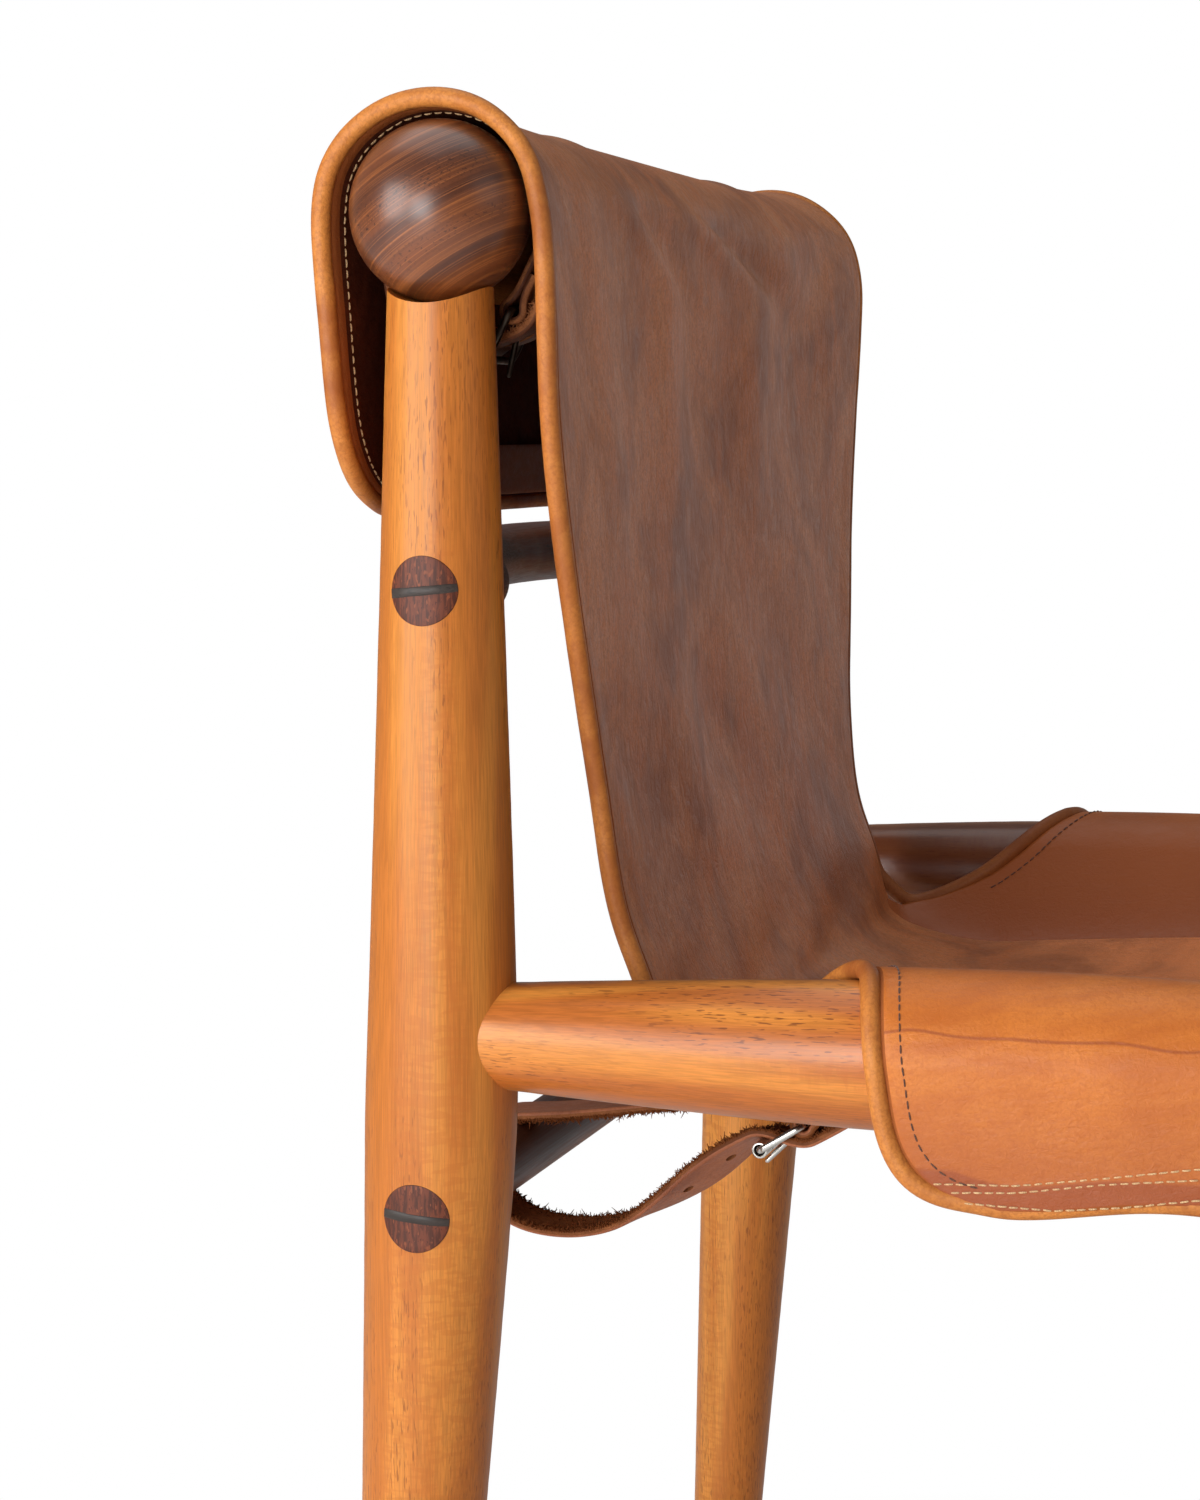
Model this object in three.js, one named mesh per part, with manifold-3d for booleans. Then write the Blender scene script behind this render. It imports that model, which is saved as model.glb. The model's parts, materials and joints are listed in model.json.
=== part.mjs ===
// Turned-wood chair with a leather sling: rear legs under ball ends, tapered side rails,
// dark crosspieces wedged through the legs, and a one-piece sling of seat, back and hood.
// Millimetres, +Z up, the chair faces -Y. Right and left are the sitter's: right is -X.
import * as THREE from 'three';
import { mergeVertices } from 'three/addons/utils/BufferGeometryUtils.js';
import Module from 'manifold-3d';

const wasm = await Module();
wasm.setup();

// Driving sizes of the frame
const ballHeight = 725; // centres of the ball ends above the floor
const railHeight = 425; // axes of the side rails above the floor
const legSpread = 510; // between leg axes across the chair
const legDepth = 440; // between rear and front leg axes
const fitGap = 0.3; // left between pieces that touch or are cut to each other
const overrun = 6; // by which cutting tools pass the face that they cut

// Legs
const footRadius = 14.5;
const footChamfer = 1.5;
const widestBelowRail = 28;
const legWidestHeight = railHeight - widestBelowRail;
const legWidestRadius = 28.2;
const legTopRadius = 18.3;
const legWaistSoftness = 0.6; // how far the two cones of a leg are eased where they meet
const footKick = 22; // the rear feet stand this far behind the leg axes
const kickBendShare = 0.1;
const frontTopAboveRail = 41;
const frontDomeHeight = 17;
const frontDomeBaseRadius = 26.2;
const legSides = 16;
const ballRings = 10;

// Ball ends and the top rail
const ballRadius = 33;
const ballTenonRadius = 11;
const copeGap = 0.5; // between a ball and the saddle that is cut in the leg's top
const legTenonBelowBallCentre = 12;
const railTenonPastBallCentre = 2;
const topRailRadius = 31;
const topRailEndRadius = 25;
const topRailFullShare = 0.745;

// Side rails
const sideRailEndRadius = 19;
const sideRailSwell = 8.5;
const sideTenonRadius = 12.5;
const sideTenonDepth = 30; // into the leg from the face that the rail meets

// Dark crosspieces and their wedges
const tenonRadius = 12.7;
const backRailBelowBall = 136;
const backRailHeight = ballHeight - backRailBelowBall;
const backRailBow = 53;
const backRailRise = 3.2; // of its middle above its tenons
const backRailRadius = 13.2;
const backRailSteps = 22;
const backRailSides = 12;
const stretcherBelowRail = 64;
const stretcherHeight = railHeight - stretcherBelowRail;
const wedgeThickness = 3.3;
const wedgeTipThickness = 1.4;
const wedgeLength = 30;
const upperWedgeTilt = THREE.MathUtils.degToRad(5.6);
const lowerWedgeTilt = THREE.MathUtils.degToRad(-5.2);

// Leather
const leatherThickness = 4;
const leatherClearance = 0.8; // between leather and the wood that it lies on
const pipingRadius = 4.25;
const seamGap = 0.9;
const seamStationShare = 0.01; // of a station's length, left open on each side of a seam
const hoodPastLegAxes = 2.5;
const hoodHalfWidth = legSpread / 2 + hoodPastLegAxes;
const rearFlapDrop = 105.5; // rear flap's lower edge below the balls' centres
const rearFlapBottom = ballHeight - rearFlapDrop;
const rearBandHeight = 21;
const rearBandThickness = 2;
const seamInsideRail = 55; // seat's side seams inside the side rails' axes
const seatSeamHalfWidth = legSpread / 2 - seamInsideRail;
const flapDrop = 41; // flap's lower edge below the side rail's axis, without its piping
const flapEdgeRise = 5.5; // of its lower edge between the corners
const flapTangentAngle = THREE.MathUtils.degToRad(150);
const flapApproach = 24;
const flapSeamRun = new THREE.Vector2(11, 4); // the way that a flap leaves the seat's seam
const hemAboveEdge = 4;
const hemHeight = 22;
const hemThickness = 2.4;
const flapCornerShares = [0.482, 0.75]; // forward of the leg axes, of legDepth
const hemEndShares = [0.446, 0.786]; // forward of the leg axes, of legDepth

// Belts and buckles
const beltWidth = 25.4;
const beltThickness = 3.5;
const buckleWire = 2.8;
const buckleLength = 20; // from the hinge bar to the far bar
const buckleSideClearance = 1;
const buckleCornerRadius = 1.35;
const buckleHoleCornerRadius = 0.35;
const buckleBore = 2.2;
const rollerRadius = 3.2;
const prongRadius = 1.2;
const prongEyeRadius = 3.6;
const prongEyeWidth = 4.5;
const prongReach = 25;
const prongSides = 8;
const ringSides = 14;
const foldRadius = 5.4;
const foldBore = 2.45;
const foldLength = 16;
const foldEndThickness = 6;
const foldTurn = THREE.MathUtils.degToRad(110); // of the fold to each side of its front
const prongSlotWidth = 5.4;
const prongHoleWidth = 4.4;
const underTailLength = 28;
const backBeltAcross = 220;
const seatBeltAcross = 155;
const underBeltPlaceShares = [0.5, 0.74];
const underBeltBelowSeat = 11;
const underBuckleAcross = 70;
const underSideClearance = 0.9;
const climbShare = 0.6; // of a buckle's length, in which a strap climbs over the far bar
const prongHoleShare = 0.8; // of that climb

const halfSpread = legSpread / 2;
const leatherHalf = leatherThickness / 2;
const backHeight = ballHeight - railHeight;
const hoodRadius = topRailRadius + leatherClearance + leatherHalf;
const xAxis = new THREE.Vector3(1, 0, 0);
const yAxis = new THREE.Vector3(0, 1, 0);
const zAxis = new THREE.Vector3(0, 0, 1);
const sides = [{ name: 'right', sign: -1 }, { name: 'left', sign: 1 }];

const chair = new THREE.Group();
chair.name = 'sling_chair';

function finish(color, roughness, metalness = 0) {
  return new THREE.MeshStandardMaterial({ color, roughness, metalness, side: THREE.DoubleSide });
}

const finishes = {
  leg: () => finish(0xd08a42, 0.35),
  rail: () => finish(0xc98044, 0.32),
  ball: () => finish(0x7a4a32, 0.35),
  darkWood: () => finish(0x3a221a, 0.3),
  wedge: () => finish(0x2e2622, 0.5),
  sling: () => finish(0x8a5f48, 0.6),
  flap: () => finish(0xcb8448, 0.5),
  piping: () => finish(0xe0984e, 0.45),
  belt: () => finish(0xa5673f, 0.65),
  nickel: () => finish(0xc9c9c6, 0.25, 1),
};

function addPiece(parent, name, solid, material) {
  const mesh = new THREE.Mesh(toGeometry(solid), material);
  mesh.name = name;
  parent.add(mesh);
  return mesh;
}

// Solids as manifolds, for cutting and joining

function toSolid(geometry) {
  const bare = geometry.clone();
  bare.deleteAttribute('normal');
  bare.deleteAttribute('uv');
  const merged = mergeVertices(bare);
  return new wasm.Manifold(new wasm.Mesh({
    numProp: 3,
    vertProperties: new Float32Array(merged.attributes.position.array),
    triVerts: new Uint32Array(merged.index.array),
  }));
}

function toGeometry(solid) {
  const { vertProperties, triVerts } = solid.getMesh();
  const geometry = new THREE.BufferGeometry();
  geometry.setAttribute('position', new THREE.BufferAttribute(new Float32Array(vertProperties), 3));
  geometry.setIndex(new THREE.BufferAttribute(new Uint32Array(triVerts), 1));
  geometry.computeVertexNormals();
  return geometry;
}

function geometryFrom(points, triangles) {
  const geometry = new THREE.BufferGeometry();
  const places = new Float32Array(points.flatMap((p) => [p.x, p.y, p.z]));
  geometry.setAttribute('position', new THREE.BufferAttribute(places, 3));
  geometry.setIndex(triangles);
  geometry.computeVertexNormals();
  return geometry;
}

// A closed body through rings of points, each ring counter-clockwise about the way it advances
function loft(rings) {
  const count = rings[0].length;
  const points = rings.flat();
  const triangles = [];
  for (let r = 0; r + 1 < rings.length; r += 1) {
    for (let i = 0; i < count; i += 1) {
      const j = (i + 1) % count;
      const [a, b] = [r * count + i, r * count + j];
      const [c, d] = [a + count, b + count];
      triangles.push(a, b, c, b, d, c);
    }
  }
  const middle = (ring) => ring.reduce((sum, p) => sum.add(p), new THREE.Vector3()).divideScalar(count);
  const first = points.push(middle(rings[0])) - 1;
  const last = points.push(middle(rings[rings.length - 1])) - 1;
  const lastRing = (rings.length - 1) * count;
  for (let i = 0; i < count; i += 1) {
    const j = (i + 1) % count;
    triangles.push(first, j, i, last, lastRing + i, lastRing + j);
  }
  return geometryFrom(points, triangles);
}

function roundRing(centre, along, across, radius, count) {
  const side = across.clone().cross(along).normalize();
  const front = along.clone().cross(side).normalize();
  return Array.from({ length: count }, (_, i) => {
    const angle = (2 * Math.PI * i) / count;
    return centre.clone()
      .addScaledVector(side, radius * Math.cos(angle))
      .addScaledVector(front, radius * Math.sin(angle));
  });
}

// A round bar along x, y or z
function bar(axis, radius, from, to, centre = new THREE.Vector3(), count = legSides) {
  const geometry = new THREE.CylinderGeometry(radius, radius, to - from, count);
  geometry.translate(0, (from + to) / 2, 0);
  if (axis === 'x') geometry.rotateZ(-Math.PI / 2);
  if (axis === 'z') geometry.rotateX(Math.PI / 2);
  return geometry.translate(centre.x, centre.y, centre.z);
}

function block(low, high) {
  const size = high.clone().sub(low);
  const geometry = new THREE.BoxGeometry(size.x, size.y, size.z);
  return geometry.translate((low.x + high.x) / 2, (low.y + high.y) / 2, (low.z + high.z) / 2);
}

// Legs: two long cones that meet, eased, at the seat joint

function legRadius(height, topRadius, topHeight) {
  const widest = legWidestRadius + legWaistSoftness;
  const lower = footRadius + (widest - footRadius) * (height / legWidestHeight);
  const above = (topHeight - height) / (topHeight - legWidestHeight);
  const upper = topRadius + (widest - topRadius) * above;
  return (lower + upper) / 2 - Math.hypot((lower - upper) / 2, legWaistSoftness);
}

function rearLegRadius(height) {
  return legRadius(height, legTopRadius, ballHeight);
}

function rearLegBack(height) {
  const below = (legWidestHeight - height) / legWidestHeight;
  return footKick * (below + Math.hypot(below, kickBendShare)) / 2;
}

const rearLegHeightShares = [0.12, 0.24, 0.36, 0.43, 0.49, 0.53, 0.565, 0.61, 0.7, 0.85, 0.975];

function rearLegBlank(extra) {
  const ring = (height, radius) => roundRing(
    new THREE.Vector3(0, rearLegBack(height), height), zAxis, yAxis, radius + extra, legSides);
  return loft([
    ring(0, footRadius - footChamfer),
    ring(footChamfer, footRadius),
    ...rearLegHeightShares.map((share) => ring(share * ballHeight, rearLegRadius(share * ballHeight))),
  ]);
}

const frontTop = railHeight + frontTopAboveRail;
const frontDomeBase = frontTop - frontDomeHeight;
const frontLegHeightShares = [0.25, 0.5, 0.7, 0.8, 0.87, 0.93, 1];
const domeShares = [0.35, 0.65, 0.88, 0.97];

function frontLegBlank(extra) {
  const ring = (height, radius) => roundRing(
    new THREE.Vector3(0, 0, height), zAxis, yAxis, radius + extra, legSides);
  const shaft = frontLegHeightShares.map((share) => {
    const height = share * frontDomeBase;
    return ring(height, legRadius(height, frontDomeBaseRadius, frontDomeBase));
  });
  const dome = domeShares.map((share) => ring(
    frontDomeBase + frontDomeHeight * share, frontDomeBaseRadius * Math.sqrt(1 - share * share)));
  return loft([ring(0, footRadius - footChamfer), ring(footChamfer, footRadius), ...shaft, ...dome]);
}

function ballBlank(extra) {
  return new THREE.SphereGeometry(ballRadius + extra, legSides, ballRings).rotateX(Math.PI / 2);
}

function place(geometry, x, y, z) {
  return geometry.translate(x, y, z);
}

function buildRearLeg(side) {
  const legX = side.sign * halfSpread;
  let solid = toSolid(rearLegBlank(0));
  const through = legWidestRadius + overrun;
  const ballCentre = new THREE.Vector3(0, 0, ballHeight);
  const cope = bar('x', ballRadius + copeGap, -through, through, ballCentre, 2 * legSides);
  solid = solid.subtract(toSolid(cope));
  solid = solid.add(toSolid(bar('z', ballTenonRadius, ballHeight - 2 * ballRadius,
    ballHeight - legTenonBelowBallCentre)));
  for (const height of [backRailHeight, stretcherHeight]) {
    const centre = new THREE.Vector3(0, rearLegBack(height), height);
    solid = solid.subtract(toSolid(bar('x', tenonRadius + fitGap, -through, through, centre)));
  }
  const socket = bar('y', sideTenonRadius + fitGap, -through, sideTenonDepth - legWidestRadius + fitGap,
    new THREE.Vector3(0, 0, railHeight));
  solid = solid.subtract(toSolid(socket));
  addPiece(chair, `rear_leg_${side.name}`, solid, finishes.leg()).position.x = legX;
}

function buildFrontLeg(side) {
  let solid = toSolid(frontLegBlank(0));
  const through = legWidestRadius + overrun;
  const centre = new THREE.Vector3(0, 0, stretcherHeight);
  solid = solid.subtract(toSolid(bar('x', tenonRadius + fitGap, -through, through, centre)));
  const socket = bar('y', sideTenonRadius + fitGap, legWidestRadius - sideTenonDepth - fitGap, through,
    new THREE.Vector3(0, 0, railHeight));
  solid = solid.subtract(toSolid(socket));
  const leg = addPiece(chair, `front_leg_${side.name}`, solid, finishes.leg());
  leg.position.set(side.sign * halfSpread, -legDepth, 0);
}

function buildBall(side) {
  const inward = -side.sign;
  let solid = toSolid(ballBlank(0));
  const past = ballRadius + overrun;
  const legTenonEnd = fitGap - legTenonBelowBallCentre;
  solid = solid.subtract(toSolid(bar('z', ballTenonRadius + fitGap, -past, legTenonEnd)));
  const reach = [-railTenonPastBallCentre - fitGap, past].map((d) => d * inward).sort((a, b) => a - b);
  solid = solid.subtract(toSolid(bar('x', ballTenonRadius + fitGap, ...reach)));
  const ball = addPiece(chair, `ball_end_${side.name}`, solid, finishes.ball());
  ball.position.set(side.sign * halfSpread, 0, ballHeight);
}

const topRailTaperShares = [0.2, 0.6, 1];

function buildTopRail() {
  const end = halfSpread - ballRadius / 2;
  const full = halfSpread * topRailFullShare;
  const half = [0, full, ...topRailTaperShares.map((share) => full + (end - full) * share)];
  const radius = (x) => {
    const taper = Math.max(0, Math.abs(x) - full) / (end - full);
    return topRailRadius + (topRailEndRadius - topRailRadius) * Math.sqrt(taper);
  };
  const stations = [...half.slice(1).reverse().map((x) => -x), ...half];
  let solid = toSolid(loft(stations.map((x) => roundRing(
    new THREE.Vector3(x, 0, ballHeight), xAxis, zAxis, radius(x), legSides))));
  for (const side of sides) {
    const ballX = side.sign * halfSpread;
    solid = solid.subtract(toSolid(place(ballBlank(fitGap), ballX, 0, ballHeight)));
  }
  const tenonEnd = halfSpread + railTenonPastBallCentre;
  const centre = new THREE.Vector3(0, 0, ballHeight);
  solid = solid.add(toSolid(bar('x', ballTenonRadius, -tenonEnd, tenonEnd, centre)));
  addPiece(chair, 'top_rail', solid, finishes.rail());
}

// Side rails: cigar-shaped, coped round the legs
const sideRailStart = legWidestRadius / 2;
const sideRailLength = legDepth - 2 * sideRailStart;

function sideRailRadius(back) {
  const share = THREE.MathUtils.clamp((-back - sideRailStart) / sideRailLength, 0, 1);
  return sideRailEndRadius + sideRailSwell * Math.sin(Math.PI * share);
}

const sideRailStationCount = 11;

function buildSideRail(side) {
  const rings = Array.from({ length: sideRailStationCount }, (_, i) => {
    const back = -sideRailStart - (sideRailLength * i) / (sideRailStationCount - 1);
    return roundRing(new THREE.Vector3(0, back, railHeight), new THREE.Vector3(0, -1, 0), zAxis,
      sideRailRadius(back), legSides);
  });
  let solid = toSolid(loft(rings));
  solid = solid.subtract(toSolid(rearLegBlank(fitGap)));
  solid = solid.subtract(toSolid(place(frontLegBlank(fitGap), 0, -legDepth, 0)));
  const reach = sideTenonDepth - legWidestRadius;
  const centre = new THREE.Vector3(0, 0, railHeight);
  solid = solid.add(toSolid(bar('y', sideTenonRadius, -legDepth - reach, reach, centre)));
  addPiece(chair, `side_rail_${side.name}`, solid, finishes.rail()).position.x = side.sign * halfSpread;
}

// What stands out past the legs' outer faces is cut off, so tenons and wedges end flush
function trimFlush(solid, legBlank, height, back) {
  let trimmed = solid;
  for (const side of sides) {
    const legX = side.sign * halfSpread;
    const reach = legWidestRadius + overrun * 2;
    const low = new THREE.Vector3(Math.min(legX, legX + side.sign * reach), back - reach, height - reach);
    const high = new THREE.Vector3(Math.max(legX, legX + side.sign * reach), back + reach, height + reach);
    const waste = toSolid(block(low, high)).subtract(toSolid(place(legBlank(), legX, 0, 0)));
    trimmed = trimmed.subtract(waste);
  }
  return trimmed;
}

function wedgeBlank(side, height, back, outer, tilt, extra) {
  const root = outer - wedgeLength - extra;
  const thick = wedgeThickness / 2 + extra;
  const thin = wedgeTipThickness / 2 + extra;
  const wide = tenonRadius + (extra > 0 ? overrun : 0);
  const outline = new THREE.Shape([
    new THREE.Vector2(root, -thin),
    new THREE.Vector2(outer + overrun, -thick),
    new THREE.Vector2(outer + overrun, thick),
    new THREE.Vector2(root, thin),
  ]);
  const geometry = new THREE.ExtrudeGeometry(outline, { depth: 2 * wide, bevelEnabled: false, steps: 1 });
  geometry.translate(0, 0, -wide).rotateX(Math.PI / 2);
  if (side.sign < 0) geometry.rotateZ(Math.PI);
  geometry.rotateX(-tilt);
  return geometry.translate(0, back, height);
}

function buildWedgedPair(name, rail, legBlank, height, back, legX, outerRadius, tilt) {
  let body = rail;
  for (const side of sides) {
    const outer = legX + outerRadius;
    body = body.subtract(toSolid(wedgeBlank(side, height, back, outer, tilt, fitGap)));
    const centre = new THREE.Vector3(0, back, height);
    const round = toSolid(bar('x', tenonRadius, -outer - overrun, outer + overrun, centre));
    const wedge = trimFlush(toSolid(wedgeBlank(side, height, back, outer, tilt, 0)).intersect(round),
      legBlank, height, back);
    addPiece(chair, `${name}_wedge_${side.name}`, wedge, finishes.wedge());
  }
  addPiece(chair, name, trimFlush(body, legBlank, height, back), finishes.darkWood());
}

// The upper back rail bows backwards between its tenons, and rises a little: places out from the
// middle as shares of halfSpread, and the share of the bow and the rise there
const bowShares = [[0, 1], [0.14, 0.971], [0.28, 0.884], [0.42, 0.74], [0.55, 0.555], [0.67, 0.338],
  [0.76, 0.155], [0.82, 0.05], [0.87, 0.01], [0.93, 0], [0.97, 0]];

function buildBackRail() {
  const back = rearLegBack(backRailHeight);
  const halfPath = bowShares.map(([out, bow]) => new THREE.Vector3(
    out * halfSpread, back + bow * backRailBow, backRailHeight + bow * backRailRise));
  const path = [...halfPath.slice(1).reverse().map((p) => new THREE.Vector3(-p.x, p.y, p.z)), ...halfPath];
  const curve = new THREE.CatmullRomCurve3(path);
  const rings = Array.from({ length: backRailSteps + 1 }, (_, i) => {
    const at = curve.getPointAt(i / backRailSteps);
    const along = curve.getTangentAt(i / backRailSteps);
    return roundRing(at, along, zAxis, backRailRadius, backRailSides);
  });
  let solid = toSolid(loft(rings));
  const radius = rearLegRadius(backRailHeight);
  for (const side of sides) {
    solid = solid.subtract(toSolid(place(rearLegBlank(fitGap), side.sign * halfSpread, 0, 0)));
    const from = halfSpread - radius - overrun / 2;
    const ends = [from, halfSpread + radius + overrun].map((x) => x * side.sign).sort((a, b) => a - b);
    solid = solid.add(toSolid(bar('x', tenonRadius, ...ends, new THREE.Vector3(0, back, backRailHeight))));
  }
  buildWedgedPair('upper_back_rail', solid, () => rearLegBlank(0), backRailHeight, back, halfSpread, radius,
    upperWedgeTilt);
}

function buildStretcher(name, legBlank, back, radius) {
  const reach = halfSpread + radius + overrun;
  const centre = new THREE.Vector3(0, back, stretcherHeight);
  const solid = toSolid(bar('x', tenonRadius, -reach, reach, centre));
  buildWedgedPair(name, solid, legBlank, stretcherHeight, back, halfSpread, radius, lowerWedgeTilt);
}

// Leather sheets

const step = 1e-3; // of a surface's own places, for its slopes

function surfaceNormal(point, u, v) {
  const [u0, u1] = [Math.max(0, u - step), Math.min(1, u + step)];
  const [v0, v1] = [Math.max(0, v - step), Math.min(1, v + step)];
  const alongU = point(u1, v).sub(point(u0, v));
  const alongV = point(u, v1).sub(point(u, v0));
  return alongU.cross(alongV).normalize();
}

// A sheet of even thickness about the surface point(u, v)
function sheet(point, thickness, uCount, vCount) {
  const points = [];
  for (const face of [1, -1]) {
    for (let j = 0; j <= vCount; j += 1) {
      for (let i = 0; i <= uCount; i += 1) {
        const [u, v] = [i / uCount, j / vCount];
        points.push(point(u, v).addScaledVector(surfaceNormal(point, u, v), face * thickness / 2));
      }
    }
  }
  const row = uCount + 1;
  const under = row * (vCount + 1);
  const triangles = [];
  for (let j = 0; j < vCount; j += 1) {
    for (let i = 0; i < uCount; i += 1) {
      const a = j * row + i;
      const [b, c, d] = [a + 1, a + row, a + row + 1];
      triangles.push(a, b, d, a, d, c);
      triangles.push(under + a, under + d, under + b, under + a, under + c, under + d);
    }
  }
  const wall = (a, b) => triangles.push(a, under + a, under + b, a, under + b, b);
  for (let i = 0; i < uCount; i += 1) {
    wall(i, i + 1);
    wall(vCount * row + i + 1, vCount * row + i);
  }
  for (let j = 0; j < vCount; j += 1) {
    wall((j + 1) * row, j * row);
    wall(j * row + uCount, (j + 1) * row + uCount);
  }
  return geometryFrom(points, triangles);
}

// Stations of the sling from the rear flap's bottom edge, over the top rail, down the back and along
// the seat. Each has the middle's and the edge's place (back, height), the half width, and how
// sharply the sheet turns from the one place to the other near the edge.
const hoodCornerShares = [[0, 0.82], [0.07, 0.905], [0.17, 0.958], [0.32, 0.988], [0.62, 1]];
const rearEdgeRadiusShare = 1.06; // of hoodRadius, at the rear flap's bottom edge
const hoodEdgeRadiusShares = [1.245, 1.23, 1.18, 1.14, 1.13, 1.15, 1.18];
// Down the back: forward of the leg axes by shares of legDepth (middle, edge), up by a share of
// backHeight above the side rails, and the half width as a share of halfSpread
const backShares = [
  [0.082, 0.0955, 0.91, 1.01], [0.085, 0.0973, 0.75, 0.994], [0.09, 0.101, 0.6, 0.953],
  [0.0955, 0.107, 0.45, 0.904], [0.1045, 0.1136, 0.3, 0.851], [0.1227, 0.126, 0.15, 0.8255],
  [0.143, 0.149, 0.05, 0.82], [0.164, 0.1635, -0.02, 0.808], [0.184, 0.182, -0.06, 0.7863],
];
// Along the seat: forward by a share of legDepth, and below the side rails' axes by shares of
// seatDrop at the middle and at the seam
const seatDrop = 38;
const seatShares = [
  [0.225, 0.71, 0.66], [0.285, 0.87, 0.76], [0.375, 0.95, 0.7], [0.525, 0.98, 0.6], [0.725, 0.95, 0.55],
  [0.9, 0.87, 0.55], [0.966, 0.9, 0.6],
];
const broadTurn = 2.2;
const sharpTurn = 8;

function slingStations() {
  const stations = [];
  const station = (middle, edge, half, turn) => stations.push({ middle, edge, half, turn });
  const flapHeight = ballHeight - rearFlapBottom;
  for (const [up, out] of hoodCornerShares) {
    const height = rearFlapBottom + up * flapHeight;
    const edge = hoodRadius * THREE.MathUtils.lerp(rearEdgeRadiusShare, hoodEdgeRadiusShares[0], up);
    station([hoodRadius, height], [edge, height], hoodHalfWidth * out, sharpTurn);
  }
  hoodEdgeRadiusShares.forEach((share, i) => {
    const angle = (Math.PI * i) / (hoodEdgeRadiusShares.length - 1);
    const at = (radius) => [radius * Math.cos(angle), ballHeight + radius * Math.sin(angle)];
    station(at(hoodRadius), at(hoodRadius * share), hoodHalfWidth, sharpTurn);
  });
  backShares.forEach(([middle, edge, up, out], i) => {
    const height = railHeight + up * backHeight;
    station([-middle * legDepth, height], [-edge * legDepth, height], out * halfSpread,
      i === 0 ? sharpTurn : broadTurn);
  });
  for (const [forward, middle, seam] of seatShares) {
    station([-forward * legDepth, railHeight - middle * seatDrop],
      [-forward * legDepth, railHeight - seam * seatDrop], seatSeamHalfWidth, broadTurn);
  }
  return stations;
}

const stations = slingStations();
const hoodEnd = hoodCornerShares.length + hoodEdgeRadiusShares.length;
const backEnd = hoodEnd + backShares.length - 1;
const seatEnd = stations.length - 1;

function spline(values, at) {
  const i = THREE.MathUtils.clamp(Math.floor(at), 0, values.length - 2);
  const t = at - i;
  const p1 = values[i];
  const p2 = values[i + 1];
  const p0 = i > 0 ? values[i - 1] : 2 * p1 - p2;
  const p3 = i + 2 < values.length ? values[i + 2] : 2 * p2 - p1;
  const slope1 = (p2 - p0) / 2;
  const slope2 = (p3 - p1) / 2;
  const rise = p2 - p1;
  return p1 + t * (slope1 + t * (3 * rise - 2 * slope1 - slope2 + t * (slope1 + slope2 - 2 * rise)));
}

const stationCurves = {
  middleBack: stations.map((s) => s.middle[0]),
  middleHeight: stations.map((s) => s.middle[1]),
  edgeBack: stations.map((s) => s.edge[0]),
  edgeHeight: stations.map((s) => s.edge[1]),
  half: stations.map((s) => s.half),
  turn: stations.map((s) => s.turn),
};

// The sling's middle surface: out from -1 to 1 across it, at a station number along it
function slingPoint(out, at) {
  const value = (name) => spline(stationCurves[name], at);
  const weight = Math.abs(out) ** value('turn');
  return new THREE.Vector3(
    out * value('half'),
    THREE.MathUtils.lerp(value('middleBack'), value('edgeBack'), weight),
    THREE.MathUtils.lerp(value('middleHeight'), value('edgeHeight'), weight),
  );
}

// Side flaps: sewn to the seat at a seam, laid over the side rail and hung down outside it

function lookUp(rows, key, column) {
  const found = rows.findIndex((row) => row[0] >= key);
  const next = found < 0 ? rows.length - 1 : Math.max(1, found);
  const [a, b] = [rows[next - 1], rows[next]];
  const t = THREE.MathUtils.clamp((key - a[0]) / (b[0] - a[0]), 0, 1);
  return THREE.MathUtils.lerp(a[column], b[column], t);
}

const seamRows = [
  ...backShares.slice(-2).map(([, edge, up]) => [edge, up * backHeight]),
  ...seatShares.map(([forward, , seam]) => [forward, -seam * seatDrop]),
];

function flapSection(back) {
  const radius = sideRailRadius(back) + leatherClearance + leatherHalf;
  const seamHeight = railHeight + lookUp(seamRows, -back / legDepth, 1);
  const seam = new THREE.Vector2(seatSeamHalfWidth + seamGap, seamHeight);
  const touch = new THREE.Vector2(halfSpread + radius * Math.cos(flapTangentAngle),
    railHeight + radius * Math.sin(flapTangentAngle));
  const upward = new THREE.Vector2(Math.sin(flapTangentAngle), -Math.cos(flapTangentAngle));
  const rise = new THREE.CubicBezierCurve(seam, seam.clone().add(flapSeamRun),
    touch.clone().addScaledVector(upward, -flapApproach), touch);
  return { radius, rise, riseLength: rise.getLength(), arcLength: radius * flapTangentAngle };
}

function flapDropAt(back) {
  const [rear, front] = flapCornerShares;
  const share = THREE.MathUtils.clamp((-back / legDepth - rear) / (front - rear), 0, 1);
  return flapDrop - flapEdgeRise * Math.sin(Math.PI * share) ** 2;
}

function flapInside(back) {
  return halfSpread + flapSection(back).radius - leatherHalf;
}

// A flap's middle surface, by the place along the rail and the share of the way from the seam to the
// lower edge
function flapPoint(sign, back, share) {
  const { radius, rise, riseLength, arcLength } = flapSection(back);
  const run = share * (riseLength + arcLength + flapDropAt(back));
  if (run < riseLength) {
    const at = rise.getPointAt(run / riseLength);
    return new THREE.Vector3(sign * at.x, back, at.y);
  }
  if (run < riseLength + arcLength) {
    const angle = flapTangentAngle - (run - riseLength) / radius;
    return new THREE.Vector3(
      sign * (halfSpread + radius * Math.cos(angle)), back, railHeight + radius * Math.sin(angle));
  }
  return new THREE.Vector3(sign * (halfSpread + radius), back, railHeight - (run - riseLength - arcLength));
}

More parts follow.
